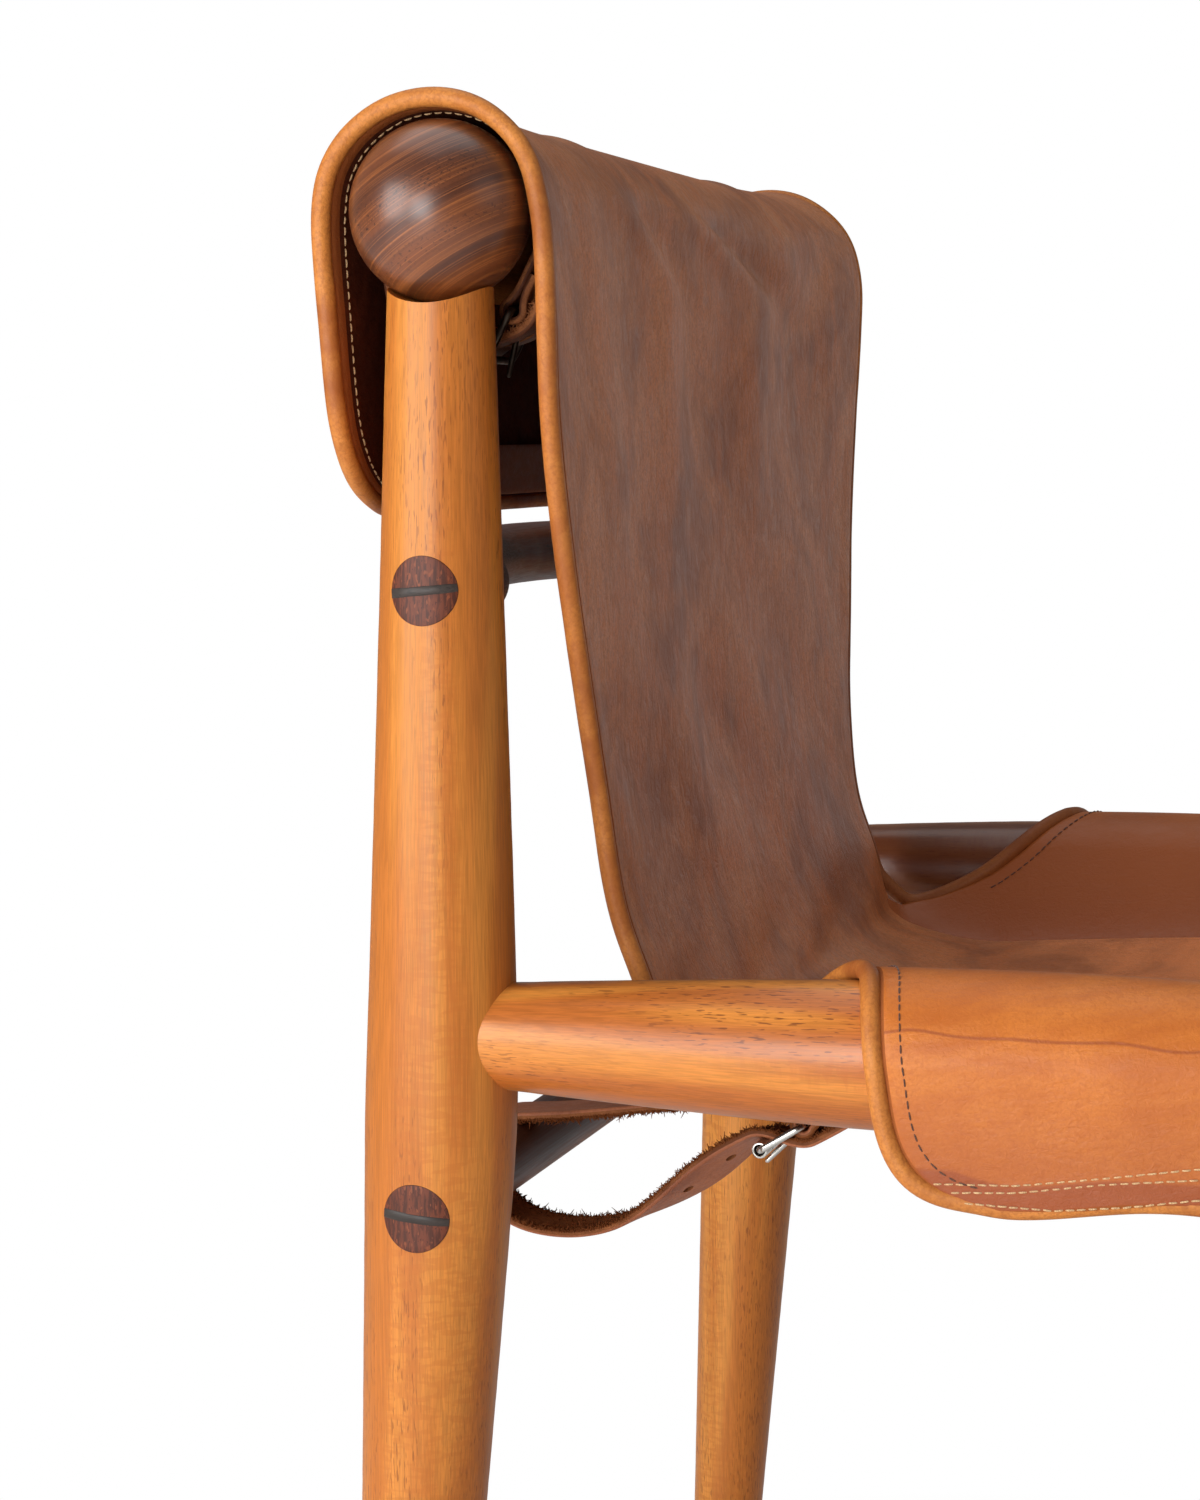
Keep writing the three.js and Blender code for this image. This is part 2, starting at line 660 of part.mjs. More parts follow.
// Edges of a flap: share of the way from the seam to the lower edge, then how far forward of the leg
// axes the rear edge and the front edge stand there, as shares of legDepth
const flapEdgeShares = [
  [0, 0.192, 0.964], [0.05, 0.197, 0.96], [0.1, 0.212, 0.953], [0.15, 0.24, 0.94], [0.22, 0.277, 0.917],
  [0.3, 0.312, 0.896], [0.38, 0.343, 0.88], [0.45, 0.3645, 0.868], [0.52, 0.377, 0.861], [0.62, 0.385, 0.855],
  [0.74, 0.392, 0.845], [0.86, 0.401, 0.832], [0.93, 0.416, 0.816], [0.975, 0.441, 0.791], [1, 0.482, 0.75],
];
const flapRows = flapEdgeShares.length - 1;
const railTopRow = 7; // where the piping passes over the top of the side rail

const flapCurves = [0, 1, 2].map((column) => flapEdgeShares.map((row) => row[column]));

function flapRow(row, column) {
  return spline(flapCurves[column], row);
}

// A flap by its row number and the share of the way from its rear edge to its front edge
function flapAt(sign, row, forwardShare) {
  const forward = THREE.MathUtils.lerp(flapRow(row, 1), flapRow(row, 2), forwardShare);
  return flapPoint(sign, -forward * legDepth, flapRow(row, 0));
}

// Piping: a round cord along an edge of a sheet, lifted where the sheet lies on wood

const pipingOut = pipingRadius + 2 * fitGap;
const railLift = pipingRadius + 3 * fitGap - leatherClearance - leatherHalf;

// Centres of the cord along the edge path(t) of the surface point(p, q), away from its inside place
function pipingCentres(point, path, inside, lift, count, outer) {
  const on = (t) => point(...path(t));
  return Array.from({ length: count + 1 }, (_, i) => {
    const t = i / count;
    const at = on(t);
    const along = on(Math.min(t + step, 1)).sub(on(Math.max(t - step, 0))).normalize();
    const [p, q] = path(t);
    const alongP = point(p + step, q).sub(point(p - step, q));
    const alongQ = point(p, q + step).sub(point(p, q - step));
    const normal = alongP.cross(alongQ).normalize();
    if (normal.dot(outer(at)) < 0) normal.negate();
    const out = along.clone().cross(normal).normalize();
    if (out.dot(at.clone().sub(point(...inside))) < 0) out.negate();
    return at.addScaledVector(out, pipingOut).addScaledVector(normal, lift(t));
  });
}

const pipingSides = 6;

function pipingTube(centres, steps) {
  const outline = new THREE.Shape(Array.from({ length: pipingSides }, (_, i) => {
    const angle = (2 * Math.PI * i) / pipingSides;
    return new THREE.Vector2(pipingRadius * Math.cos(angle), pipingRadius * Math.sin(angle));
  }));
  const curve = new THREE.CatmullRomCurve3(centres);
  return toSolid(new THREE.ExtrudeGeometry(outline, { steps, extrudePath: curve, bevelEnabled: false }));
}

const hoodOuter = (at) => new THREE.Vector3(0, at.y, at.z - ballHeight + hoodRadius);
const seatOuter = () => new THREE.Vector3(0, -1, 1);
const flapOuter = (sign) => (at) => new THREE.Vector3(
  at.x - sign * halfSpread, 0, at.z - railHeight + flapDrop);

// Where the cords begin and end, in stations of the sling and rows of a flap
const hoodJointShare = 3.5; // stations up from the rear flap's bottom edge
const jointTrimShare = 0.06; // of a station or a row, open on each side of a joint
const frontTrimShare = 0.985; // of the seat's half width
const backStartShare = 0.5; // stations past the hood's end
const backStopShare = 0.8; // stations before the back's end
const waistStartShare = 1.4; // rows up from the seat's seam
const flapTurnShare = 0.3; // rows short of the lower edge, where the cord turns the corner
const waistLiftShares = [0.1, 0.62]; // of the cord from the waist to the rail
const rearCordShares = [0.25, 0.75]; // of the cord, at the rear flap's two corners
const flapCordShares = [0.35, 0.65]; // of the cord, at a flap's two corners
const cordCounts = { rear: 32, front: 8, hood: 14, back: 9, waist: 9, flap: 46 }; // of places
const cordSteps = { rear: 44, front: 10, back: 56, flap: 50 };

function buildPiping() {
  const noLift = () => 0;
  const waistLift = (t) => railLift * THREE.MathUtils.smoothstep(t, ...waistLiftShares);
  const stretch = (from, to, t) => THREE.MathUtils.lerp(from, to, t);
  const part = (t, from, to) => (t - from) / (to - from);
  const rearPath = (t) => {
    const [first, second] = rearCordShares;
    if (t < first) return [-1, stretch(hoodJointShare - jointTrimShare, 0, part(t, 0, first))];
    if (t > second) return [1, stretch(0, hoodJointShare - jointTrimShare, part(t, second, 1))];
    return [stretch(-1, 1, part(t, first, second)), 0];
  };
  const rear = pipingCentres(slingPoint, rearPath, [0, hoodCornerShares.length], noLift, cordCounts.rear,
    () => yAxis);
  addPiece(chair, 'rear_flap_piping', pipingTube(rear, cordSteps.rear), finishes.piping());
  const frontPath = (t) => [stretch(-frontTrimShare, frontTrimShare, t), seatEnd];
  const front = pipingCentres(slingPoint, frontPath, [0, hoodEnd], noLift, cordCounts.front, seatOuter);
  addPiece(chair, 'seat_front_piping', pipingTube(front, cordSteps.front), finishes.piping());
  for (const side of sides) {
    const { sign } = side;
    const hoodPath = (t) => [sign, stretch(hoodJointShare + jointTrimShare, hoodEnd, t)];
    const backPath = (t) => [sign, stretch(hoodEnd + backStartShare, backEnd - backStopShare, t)];
    const surface = (row, forwardShare) => flapAt(sign, row, forwardShare);
    const waistPath = (t) => [stretch(waistStartShare, railTopRow - jointTrimShare, t), 0];
    const inside = [railTopRow, 1 / 2];
    const centres = [
      ...pipingCentres(slingPoint, hoodPath, [0, hoodEnd], noLift, cordCounts.hood, hoodOuter),
      ...pipingCentres(slingPoint, backPath, [0, backEnd - 1], noLift, cordCounts.back, seatOuter),
      ...pipingCentres(surface, waistPath, inside, waistLift, cordCounts.waist, flapOuter(sign)),
    ];
    addPiece(chair, `back_piping_${side.name}`, pipingTube(centres, cordSteps.back), finishes.piping());
    const lower = flapRows - flapTurnShare;
    const flapPath = (t) => {
      const [first, second] = flapCordShares;
      if (t < first) return [stretch(railTopRow + jointTrimShare, lower, part(t, 0, first)), 0];
      if (t > second) return [stretch(lower, flapTurnShare, part(t, second, 1)), 1];
      return [flapRows, stretch(0, 1, part(t, first, second))];
    };
    const flap = pipingCentres(surface, flapPath, inside, () => railLift, cordCounts.flap, flapOuter(sign));
    addPiece(chair, `flap_piping_${side.name}`, pipingTube(flap, cordSteps.flap), finishes.piping());
  }
}

function slingSheet(from, to, acrossCount, alongCount) {
  const start = from === 0 ? from : from + seamStationShare;
  const end = to === seatEnd ? to : to - seamStationShare;
  const point = (u, v) => slingPoint(2 * u - 1, THREE.MathUtils.lerp(start, end, v));
  return toSolid(sheet(point, leatherThickness, acrossCount, alongCount));
}

// Divisions across and along each sheet
const sheetCounts = { hood: [12, 20], back: [10, 12], seat: [10, 9], flap: [2 * flapRows, 8], hem: [1, 6] };

function buildSling() {
  addPiece(chair, 'sling_hood', slingSheet(0, hoodEnd, ...sheetCounts.hood), finishes.sling());
  addPiece(chair, 'sling_back', slingSheet(hoodEnd, backEnd, ...sheetCounts.back), finishes.sling());
  addPiece(chair, 'sling_seat', slingSheet(backEnd, seatEnd, ...sheetCounts.seat), finishes.sling());
  const bandBack = hoodRadius - leatherHalf - fitGap;
  const bandHalfWidth = hoodHalfWidth * hoodCornerShares[0][1] - pipingRadius;
  const low = new THREE.Vector3(-bandHalfWidth, bandBack - rearBandThickness, rearFlapBottom);
  const high = new THREE.Vector3(bandHalfWidth, bandBack, rearFlapBottom + rearBandHeight);
  addPiece(chair, 'rear_flap_band', toSolid(block(low, high)), finishes.flap());
  for (const side of sides) {
    const surface = (u, v) => flapAt(side.sign, u * flapRows, v);
    const flap = toSolid(sheet(surface, leatherThickness, ...sheetCounts.flap));
    addPiece(chair, `side_flap_${side.name}`, flap, finishes.flap());
    const hem = (u, v) => {
      const back = -legDepth * THREE.MathUtils.lerp(...hemEndShares, v);
      const across = flapInside(back) - fitGap - hemThickness / 2;
      const low = railHeight - flapDropAt(back) + hemAboveEdge;
      return new THREE.Vector3(side.sign * across, back, low + hemHeight * u);
    };
    const hemSolid = toSolid(sheet(hem, hemThickness, ...sheetCounts.hem));
    addPiece(chair, `flap_hem_${side.name}`, hemSolid, finishes.flap());
  }
}

// Belts, drawn in the plane of their run and given their width across it

function offsetLine(points, distance) {
  return points.map((point, i) => {
    const before = points[Math.max(i - 1, 0)];
    const after = points[Math.min(i + 1, points.length - 1)];
    const first = i > 0 ? point.clone().sub(before).normalize() : after.clone().sub(point).normalize();
    const second = i < points.length - 1 ? after.clone().sub(point).normalize() : first;
    const mitre = new THREE.Vector2(-first.y - second.y, first.x + second.x);
    mitre.multiplyScalar(2 / mitre.lengthSq());
    return point.clone().addScaledVector(mitre, distance);
  });
}

const planeBasis = new THREE.Matrix4().makeBasis(yAxis, zAxis, xAxis);
const planeCurveSegments = 5;

function acrossPlane(shape, width) {
  const geometry = new THREE.ExtrudeGeometry(shape,
    { depth: width, bevelEnabled: false, steps: 1, curveSegments: planeCurveSegments });
  return geometry.translate(0, 0, -width / 2).applyMatrix4(planeBasis);
}

function beltRun(points) {
  const half = beltThickness / 2;
  const outline = [...offsetLine(points, half), ...offsetLine(points, -half).reverse()];
  return toSolid(acrossPlane(new THREE.Shape(outline), beltWidth));
}

function arcPlaces(centre, radius, { fromDegrees, toDegrees, count }) {
  return Array.from({ length: count + 1 }, (_, i) => {
    const angle = THREE.MathUtils.degToRad(THREE.MathUtils.lerp(fromDegrees, toDegrees, i / count));
    return new THREE.Vector2(centre.x + radius * Math.cos(angle), centre.y + radius * Math.sin(angle));
  });
}

// A buckle stands at its hinge bar, with along towards its far bar and outer to the side that the
// prong is on
function buckleAxes(hinge, angle, flip) {
  const along = new THREE.Vector2(Math.cos(angle), Math.sin(angle));
  const outer = new THREE.Vector2(-Math.sin(angle) * flip, Math.cos(angle) * flip);
  const toPlane = (a, h) => hinge.clone().addScaledVector(along, a).addScaledVector(outer, h);
  const matrix = new THREE.Matrix4().makeBasis(
    new THREE.Vector3(flip, 0, 0), new THREE.Vector3(0, along.x, along.y),
    new THREE.Vector3(0, outer.x, outer.y));
  matrix.setPosition(0, hinge.x, hinge.y);
  return { toPlane, matrix };
}

const buckleInnerHalf = beltWidth / 2 + buckleSideClearance;
const outerRun = foldRadius + fitGap + beltThickness / 2;
const innerRun = rollerRadius + fitGap + beltThickness / 2;

function roundedBox(low, high, radius) {
  const shape = new THREE.Shape();
  shape.absarc(high.x - radius, high.y - radius, radius, 0, Math.PI / 2);
  shape.absarc(low.x + radius, high.y - radius, radius, Math.PI / 2, Math.PI);
  shape.absarc(low.x + radius, low.y + radius, radius, Math.PI, 1.5 * Math.PI);
  shape.absarc(high.x - radius, low.y + radius, radius, 1.5 * Math.PI, 2 * Math.PI);
  return shape;
}

function buckleFrame() {
  const half = buckleWire / 2;
  const outer = buckleInnerHalf + buckleWire;
  const shape = roundedBox(new THREE.Vector2(-outer, -half), new THREE.Vector2(outer, buckleLength + half),
    buckleCornerRadius);
  shape.holes.push(roundedBox(new THREE.Vector2(-buckleInnerHalf, half),
    new THREE.Vector2(buckleInnerHalf, buckleLength - half), buckleHoleCornerRadius));
  const geometry = new THREE.ExtrudeGeometry(shape,
    { depth: buckleWire, bevelEnabled: false, curveSegments: 2 });
  return geometry.translate(0, 0, -half);
}

function ringAcross(inner, outer, width, count) {
  const half = width / 2;
  const profile = [[inner, -half], [outer, -half], [outer, half], [inner, half], [inner, -half]];
  const geometry = new THREE.LatheGeometry(profile.map(([x, y]) => new THREE.Vector2(x, y)), count);
  return geometry.rotateZ(-Math.PI / 2);
}

function buckleProng() {
  const lean = Math.asin((rollerRadius + fitGap + prongRadius) / buckleLength);
  const root = (buckleBore + prongEyeRadius) / 2;
  const pin = bar('y', prongRadius, root, prongReach, new THREE.Vector3(), prongSides);
  pin.rotateX(lean);
  return toSolid(ringAcross(buckleBore, prongEyeRadius, prongEyeWidth, ringSides)).add(toSolid(pin));
}

function buckleFold() {
  const shape = new THREE.Shape();
  shape.absarc(0, 0, foldRadius, -foldTurn, foldTurn);
  shape.lineTo(-foldLength, foldEndThickness / 2);
  shape.lineTo(-foldLength, -foldEndThickness / 2);
  const hole = new THREE.Path();
  hole.absarc(0, 0, foldBore, 0, 2 * Math.PI);
  shape.holes.push(hole);
  return acrossPlane(shape, beltWidth);
}

// One belt: the short strap that holds the buckle, the long strap that runs through it, and the
// buckle. The straps' runs and the hinge bar's place are in the plane of the belt.
function buildBelt({ group, belt, end, hinge, angle, flip, shortRun, longRun, tail, hasRoller }) {
  const { toPlane, matrix } = buckleAxes(hinge, angle, flip);
  chair.add(group);
  const metal = new THREE.Group();
  metal.applyMatrix4(matrix);
  group.add(metal);
  addPiece(metal, `${belt}_buckle_frame_${end}`, toSolid(buckleFrame()), finishes.nickel());
  addPiece(metal, `${belt}_buckle_prong_${end}`, buckleProng(), finishes.nickel());
  if (hasRoller) {
    const rollerWidth = 2 * buckleInnerHalf - buckleSideClearance;
    const roller = ringAcross(buckleBore, rollerRadius, rollerWidth, ringSides).translate(0, buckleLength, 0);
    addPiece(metal, `${belt}_buckle_roller_${end}`, toSolid(roller), finishes.nickel());
  }
  const slotStart = buckleWire / 2 - foldRadius;
  const slot = block(new THREE.Vector3(-prongSlotWidth / 2, slotStart, -foldRadius - overrun),
    new THREE.Vector3(prongSlotWidth / 2, foldRadius + overrun, foldRadius + overrun));
  const fold = toSolid(buckleFold()).subtract(toSolid(slot));
  const clearing = toSolid(bar('x', foldRadius, -beltWidth, beltWidth));
  const run = beltRun([toPlane(-foldLength / 2, 0), toPlane(-foldLength, 0), ...shortRun]);
  const holder = run.subtract(toSolid(toGeometry(clearing).applyMatrix4(matrix)));
  const short = holder.add(toSolid(toGeometry(fold).applyMatrix4(matrix)));
  addPiece(group, `${belt}_buckle_strap_${end}`, short, finishes.belt());
  const climb = buckleLength * climbShare;
  const long = beltRun([
    ...longRun, toPlane(buckleLength + foldRadius, -innerRun),
    toPlane(buckleLength - rollerRadius, -innerRun), toPlane(buckleLength - rollerRadius - climb, outerRun),
    toPlane(-foldRadius, outerRun + fitGap), toPlane(-tail, outerRun + fitGap),
  ]);
  const hole = block(new THREE.Vector3(-prongHoleWidth / 2, prongEyeRadius, -outerRun - overrun),
    new THREE.Vector3(prongHoleWidth / 2, prongEyeRadius + climb * prongHoleShare, outerRun + overrun));
  addPiece(group, `${belt}_strap_${end}`, long.subtract(toSolid(hole.applyMatrix4(matrix))), finishes.belt());
}

// Places of a belt in its plane, as shares of beltSpan from a height above the leg axes
const beltSpan = 100;

function toPlaces(shares, height) {
  return shares.map(([across, up]) => new THREE.Vector2(across * beltSpan, height + up * beltSpan));
}

// The seat's rear belts run back under the seat, round the lower rear stretcher and forward to
// their buckles
const seatBeltDropShare = 0.94;
const seatHingeShare = [-1.16, -0.1];
const seatBuckleAngle = THREE.MathUtils.degToRad(-32);
const seatShortShares = [[-1.39, -0.003], [-1.5, 0], [-1.95, 0]];
const seatLongTopShares = [[-1.12, 0], [-1.02, -0.003], [-0.6, -0.058], [-0.2, -0.118]];
const seatLongLowShares = [[0.14, -0.14], [0.07, -0.245], [-0.04, -0.295], [-0.2, -0.31], [-0.36, -0.285],
  [-0.48, -0.235], [-0.65, -0.125]];
const seatTailLength = 22;
const seatBeltArc = { fromDegrees: 90, toDegrees: -25, count: 6 };

function buildSeatBelt(side) {
  const group = new THREE.Group();
  group.position.x = side.sign * seatBeltAcross;
  const height = railHeight - seatBeltDropShare * seatDrop;
  const centre = new THREE.Vector2(rearLegBack(stretcherHeight), stretcherHeight);
  const round = arcPlaces(centre, tenonRadius + fitGap + beltThickness / 2, seatBeltArc);
  buildBelt({
    group, belt: 'seat', end: side.name, hinge: toPlaces([seatHingeShare], height)[0],
    angle: seatBuckleAngle, flip: -1, shortRun: toPlaces(seatShortShares, height),
    longRun: [...toPlaces(seatLongTopShares, height), ...round,
      ...toPlaces(seatLongLowShares, stretcherHeight)],
    tail: seatTailLength, hasRoller: true,
  });
}

// The back's belts run down behind the top rail inside the hood and up to buckles in front of it
const backHingeShare = [-0.2, -0.35];
const backBuckleAngle = THREE.MathUtils.degToRad(-63.4);
const backShortShares = [[-0.3, -0.12], [-0.302, 0], [-0.286, 0.08]];
const backLongShares = [[0.304, -0.14], [0.25, -0.44], [0.11, -0.63], [-0.02, -0.68]];
const backBeltArc = { fromDegrees: 50, toDegrees: 0, count: 4 };
const backTailLength = 12;
const backBeltRailRadius = 28; // of the round that these belts make about the top rail

function buildBackBelt(side) {
  const group = new THREE.Group();
  group.position.x = side.sign * backBeltAcross;
  const centre = new THREE.Vector2(0, ballHeight);
  const round = arcPlaces(centre, backBeltRailRadius + beltThickness / 2, backBeltArc);
  buildBelt({
    group, belt: 'back', end: side.name, hinge: toPlaces([backHingeShare], ballHeight)[0],
    angle: backBuckleAngle, flip: -1, shortRun: toPlaces(backShortShares, ballHeight),
    longRun: [...round, ...toPlaces(backLongShares, ballHeight)], tail: backTailLength, hasRoller: false,
  });
}

// Belts across under the seat draw the flaps' lower edges together
const underMiddleRise = 0.5;
const underMiddleShare = 1.6; // of underBuckleAcross
const underSag = 4.5;
const underEndTurn = 9;
const underEndBendRise = 8.5;
const underEndRise = 23.5;

function buildUnderBelt(name, share) {
  const back = -share * legDepth;
  const group = new THREE.Group();
  group.rotation.z = -Math.PI / 2;
  group.position.y = back;
  const side = flapInside(back) - fitGap - hemThickness - underSideClearance - beltThickness / 2;
  const low = railHeight - seatDrop - underBeltBelowSeat;
  const rise = low + underSag;
  const middle = underMiddleShare * underBuckleAcross;
  const end = [
    [side - underEndTurn, rise], [side, rise + underEndBendRise], [side, rise + underEndRise],
  ];
  const shortRun = [[middle, low + underMiddleRise], ...end];
  const longRun = [...end.toReversed().map(([across, up]) => [-across, up]), [-middle, low + underMiddleRise],
    [underEndTurn, low]];
  buildBelt({
    group, belt: 'under', end: name, hinge: new THREE.Vector2(underBuckleAcross, low),
    angle: Math.PI, flip: 1, shortRun: shortRun.map(([x, y]) => new THREE.Vector2(x, y)),
    longRun: longRun.map(([x, y]) => new THREE.Vector2(x, y)),
    tail: underTailLength, hasRoller: false,
  });
}

for (const side of sides) {
  buildRearLeg(side);
  buildFrontLeg(side);
  buildBall(side);
  buildSideRail(side);
}
buildTopRail();
buildBackRail();
buildStretcher('lower_rear_stretcher', () => rearLegBlank(0), rearLegBack(stretcherHeight),
  rearLegRadius(stretcherHeight));
buildStretcher('front_stretcher', () => place(frontLegBlank(0), 0, -legDepth, 0), -legDepth,
  legRadius(stretcherHeight, frontDomeBaseRadius, frontDomeBase));
buildSling();
buildPiping();
for (const side of sides) {
  buildSeatBelt(side);
  buildBackBelt(side);
}
buildUnderBelt('rear', underBeltPlaceShares[0]);
buildUnderBelt('front', underBeltPlaceShares[1]);

// The origin is put at the middle of the footprint
chair.updateMatrixWorld(true);
const bounds = new THREE.Box3().setFromObject(chair);
chair.position.y = -(bounds.min.y + bounds.max.y) / 2;

export default chair;
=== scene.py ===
"""Turned-wood chair with a leather sling: its looks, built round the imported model.

Metres, +Z up. The sitter faces -Y, and right is the sitter's right, at -X.
"""

import json
import logging
import math
import random
from collections.abc import Callable, Sequence
from dataclasses import dataclass, field
from enum import Enum

import bpy
import numpy as np
from mathutils import Vector
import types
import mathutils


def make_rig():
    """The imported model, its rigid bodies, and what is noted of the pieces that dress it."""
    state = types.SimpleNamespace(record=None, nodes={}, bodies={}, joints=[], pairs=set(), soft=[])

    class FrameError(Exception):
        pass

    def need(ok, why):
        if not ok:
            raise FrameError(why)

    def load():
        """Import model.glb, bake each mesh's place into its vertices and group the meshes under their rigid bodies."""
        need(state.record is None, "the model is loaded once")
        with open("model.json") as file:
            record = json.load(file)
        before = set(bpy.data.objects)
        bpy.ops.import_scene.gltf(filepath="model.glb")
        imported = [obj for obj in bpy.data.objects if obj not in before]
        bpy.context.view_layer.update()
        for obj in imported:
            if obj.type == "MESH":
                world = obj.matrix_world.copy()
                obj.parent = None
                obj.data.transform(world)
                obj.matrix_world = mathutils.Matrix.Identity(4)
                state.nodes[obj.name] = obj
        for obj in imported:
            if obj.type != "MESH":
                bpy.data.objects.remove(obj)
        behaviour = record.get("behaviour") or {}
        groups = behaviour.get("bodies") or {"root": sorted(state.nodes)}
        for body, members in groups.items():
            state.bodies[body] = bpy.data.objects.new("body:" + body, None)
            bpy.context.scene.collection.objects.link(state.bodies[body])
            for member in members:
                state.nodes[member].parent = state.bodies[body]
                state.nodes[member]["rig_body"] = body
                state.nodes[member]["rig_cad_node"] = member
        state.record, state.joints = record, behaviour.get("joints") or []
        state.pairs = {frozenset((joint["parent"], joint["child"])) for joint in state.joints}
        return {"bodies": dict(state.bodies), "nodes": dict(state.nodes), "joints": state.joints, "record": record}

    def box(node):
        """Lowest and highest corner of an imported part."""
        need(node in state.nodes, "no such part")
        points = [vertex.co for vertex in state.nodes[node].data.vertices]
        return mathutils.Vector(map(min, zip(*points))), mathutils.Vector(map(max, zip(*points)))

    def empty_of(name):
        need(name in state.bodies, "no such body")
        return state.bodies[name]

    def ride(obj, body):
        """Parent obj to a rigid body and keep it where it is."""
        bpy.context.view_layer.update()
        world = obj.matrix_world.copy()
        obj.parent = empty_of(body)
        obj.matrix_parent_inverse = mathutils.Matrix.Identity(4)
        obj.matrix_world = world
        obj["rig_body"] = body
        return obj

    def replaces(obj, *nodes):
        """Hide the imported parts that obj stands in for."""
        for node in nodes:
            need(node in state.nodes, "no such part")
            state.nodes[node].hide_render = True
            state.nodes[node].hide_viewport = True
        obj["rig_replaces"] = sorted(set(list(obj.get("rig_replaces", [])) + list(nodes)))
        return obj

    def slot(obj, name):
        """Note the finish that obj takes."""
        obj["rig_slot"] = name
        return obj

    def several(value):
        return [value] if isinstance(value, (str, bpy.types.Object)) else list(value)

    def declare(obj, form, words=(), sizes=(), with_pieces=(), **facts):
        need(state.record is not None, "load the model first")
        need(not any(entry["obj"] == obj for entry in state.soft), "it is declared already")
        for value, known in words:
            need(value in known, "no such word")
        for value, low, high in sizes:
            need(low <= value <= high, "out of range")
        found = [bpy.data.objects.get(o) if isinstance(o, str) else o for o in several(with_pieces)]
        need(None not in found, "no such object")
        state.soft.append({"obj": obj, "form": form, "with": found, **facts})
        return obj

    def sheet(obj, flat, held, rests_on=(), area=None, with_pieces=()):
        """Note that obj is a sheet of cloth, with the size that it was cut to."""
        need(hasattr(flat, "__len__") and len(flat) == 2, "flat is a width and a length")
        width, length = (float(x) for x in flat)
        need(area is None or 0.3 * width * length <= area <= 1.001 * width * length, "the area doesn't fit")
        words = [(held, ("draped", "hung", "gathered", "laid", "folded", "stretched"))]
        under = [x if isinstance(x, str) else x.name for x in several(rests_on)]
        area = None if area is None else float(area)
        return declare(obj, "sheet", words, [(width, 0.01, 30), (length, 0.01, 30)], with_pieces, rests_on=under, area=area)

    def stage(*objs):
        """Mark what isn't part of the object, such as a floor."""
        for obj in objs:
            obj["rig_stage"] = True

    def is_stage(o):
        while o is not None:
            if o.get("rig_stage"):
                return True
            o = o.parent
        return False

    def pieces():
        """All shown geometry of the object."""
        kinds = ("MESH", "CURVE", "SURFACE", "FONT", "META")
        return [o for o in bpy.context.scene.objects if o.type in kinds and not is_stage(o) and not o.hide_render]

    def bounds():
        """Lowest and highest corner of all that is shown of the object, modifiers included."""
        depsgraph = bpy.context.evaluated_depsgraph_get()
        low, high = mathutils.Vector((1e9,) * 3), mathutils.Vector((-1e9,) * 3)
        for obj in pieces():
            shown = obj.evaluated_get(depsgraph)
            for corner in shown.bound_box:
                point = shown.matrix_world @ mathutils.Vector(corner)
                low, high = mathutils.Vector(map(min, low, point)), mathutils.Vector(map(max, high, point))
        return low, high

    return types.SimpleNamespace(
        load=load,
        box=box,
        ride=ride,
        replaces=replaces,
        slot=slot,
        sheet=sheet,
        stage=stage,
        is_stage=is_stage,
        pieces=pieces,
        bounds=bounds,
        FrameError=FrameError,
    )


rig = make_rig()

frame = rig.load()
CAD_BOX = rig.bounds()

MM = 0.001
LOG = logging.getLogger("sling_chair")
BODY = "chair"
Array = np.ndarray
Faces = list[tuple[int, ...]]
Colour = tuple[float, ...]
Limits = tuple[float, float]
Socket = bpy.types.NodeSocket
UP = np.array([0, 0, 1.0])


class Side(Enum):
    """A side of the chair, named as the sitter sees it."""

    RIGHT = -1
    LEFT = 1

    @property
    def word(self) -> str:
        """The side's name in the names of nodes and pieces."""
        return self.name.lower()


class Grain(Enum):
    """The row axis along which a turned piece's grain runs."""

    X = (0.06, 1.0, 1.0)
    Y = (1.0, 0.06, 1.0)
    Z = (1.0, 1.0, 0.06)
    SAWN = (0.06, 0.06, 1.0)


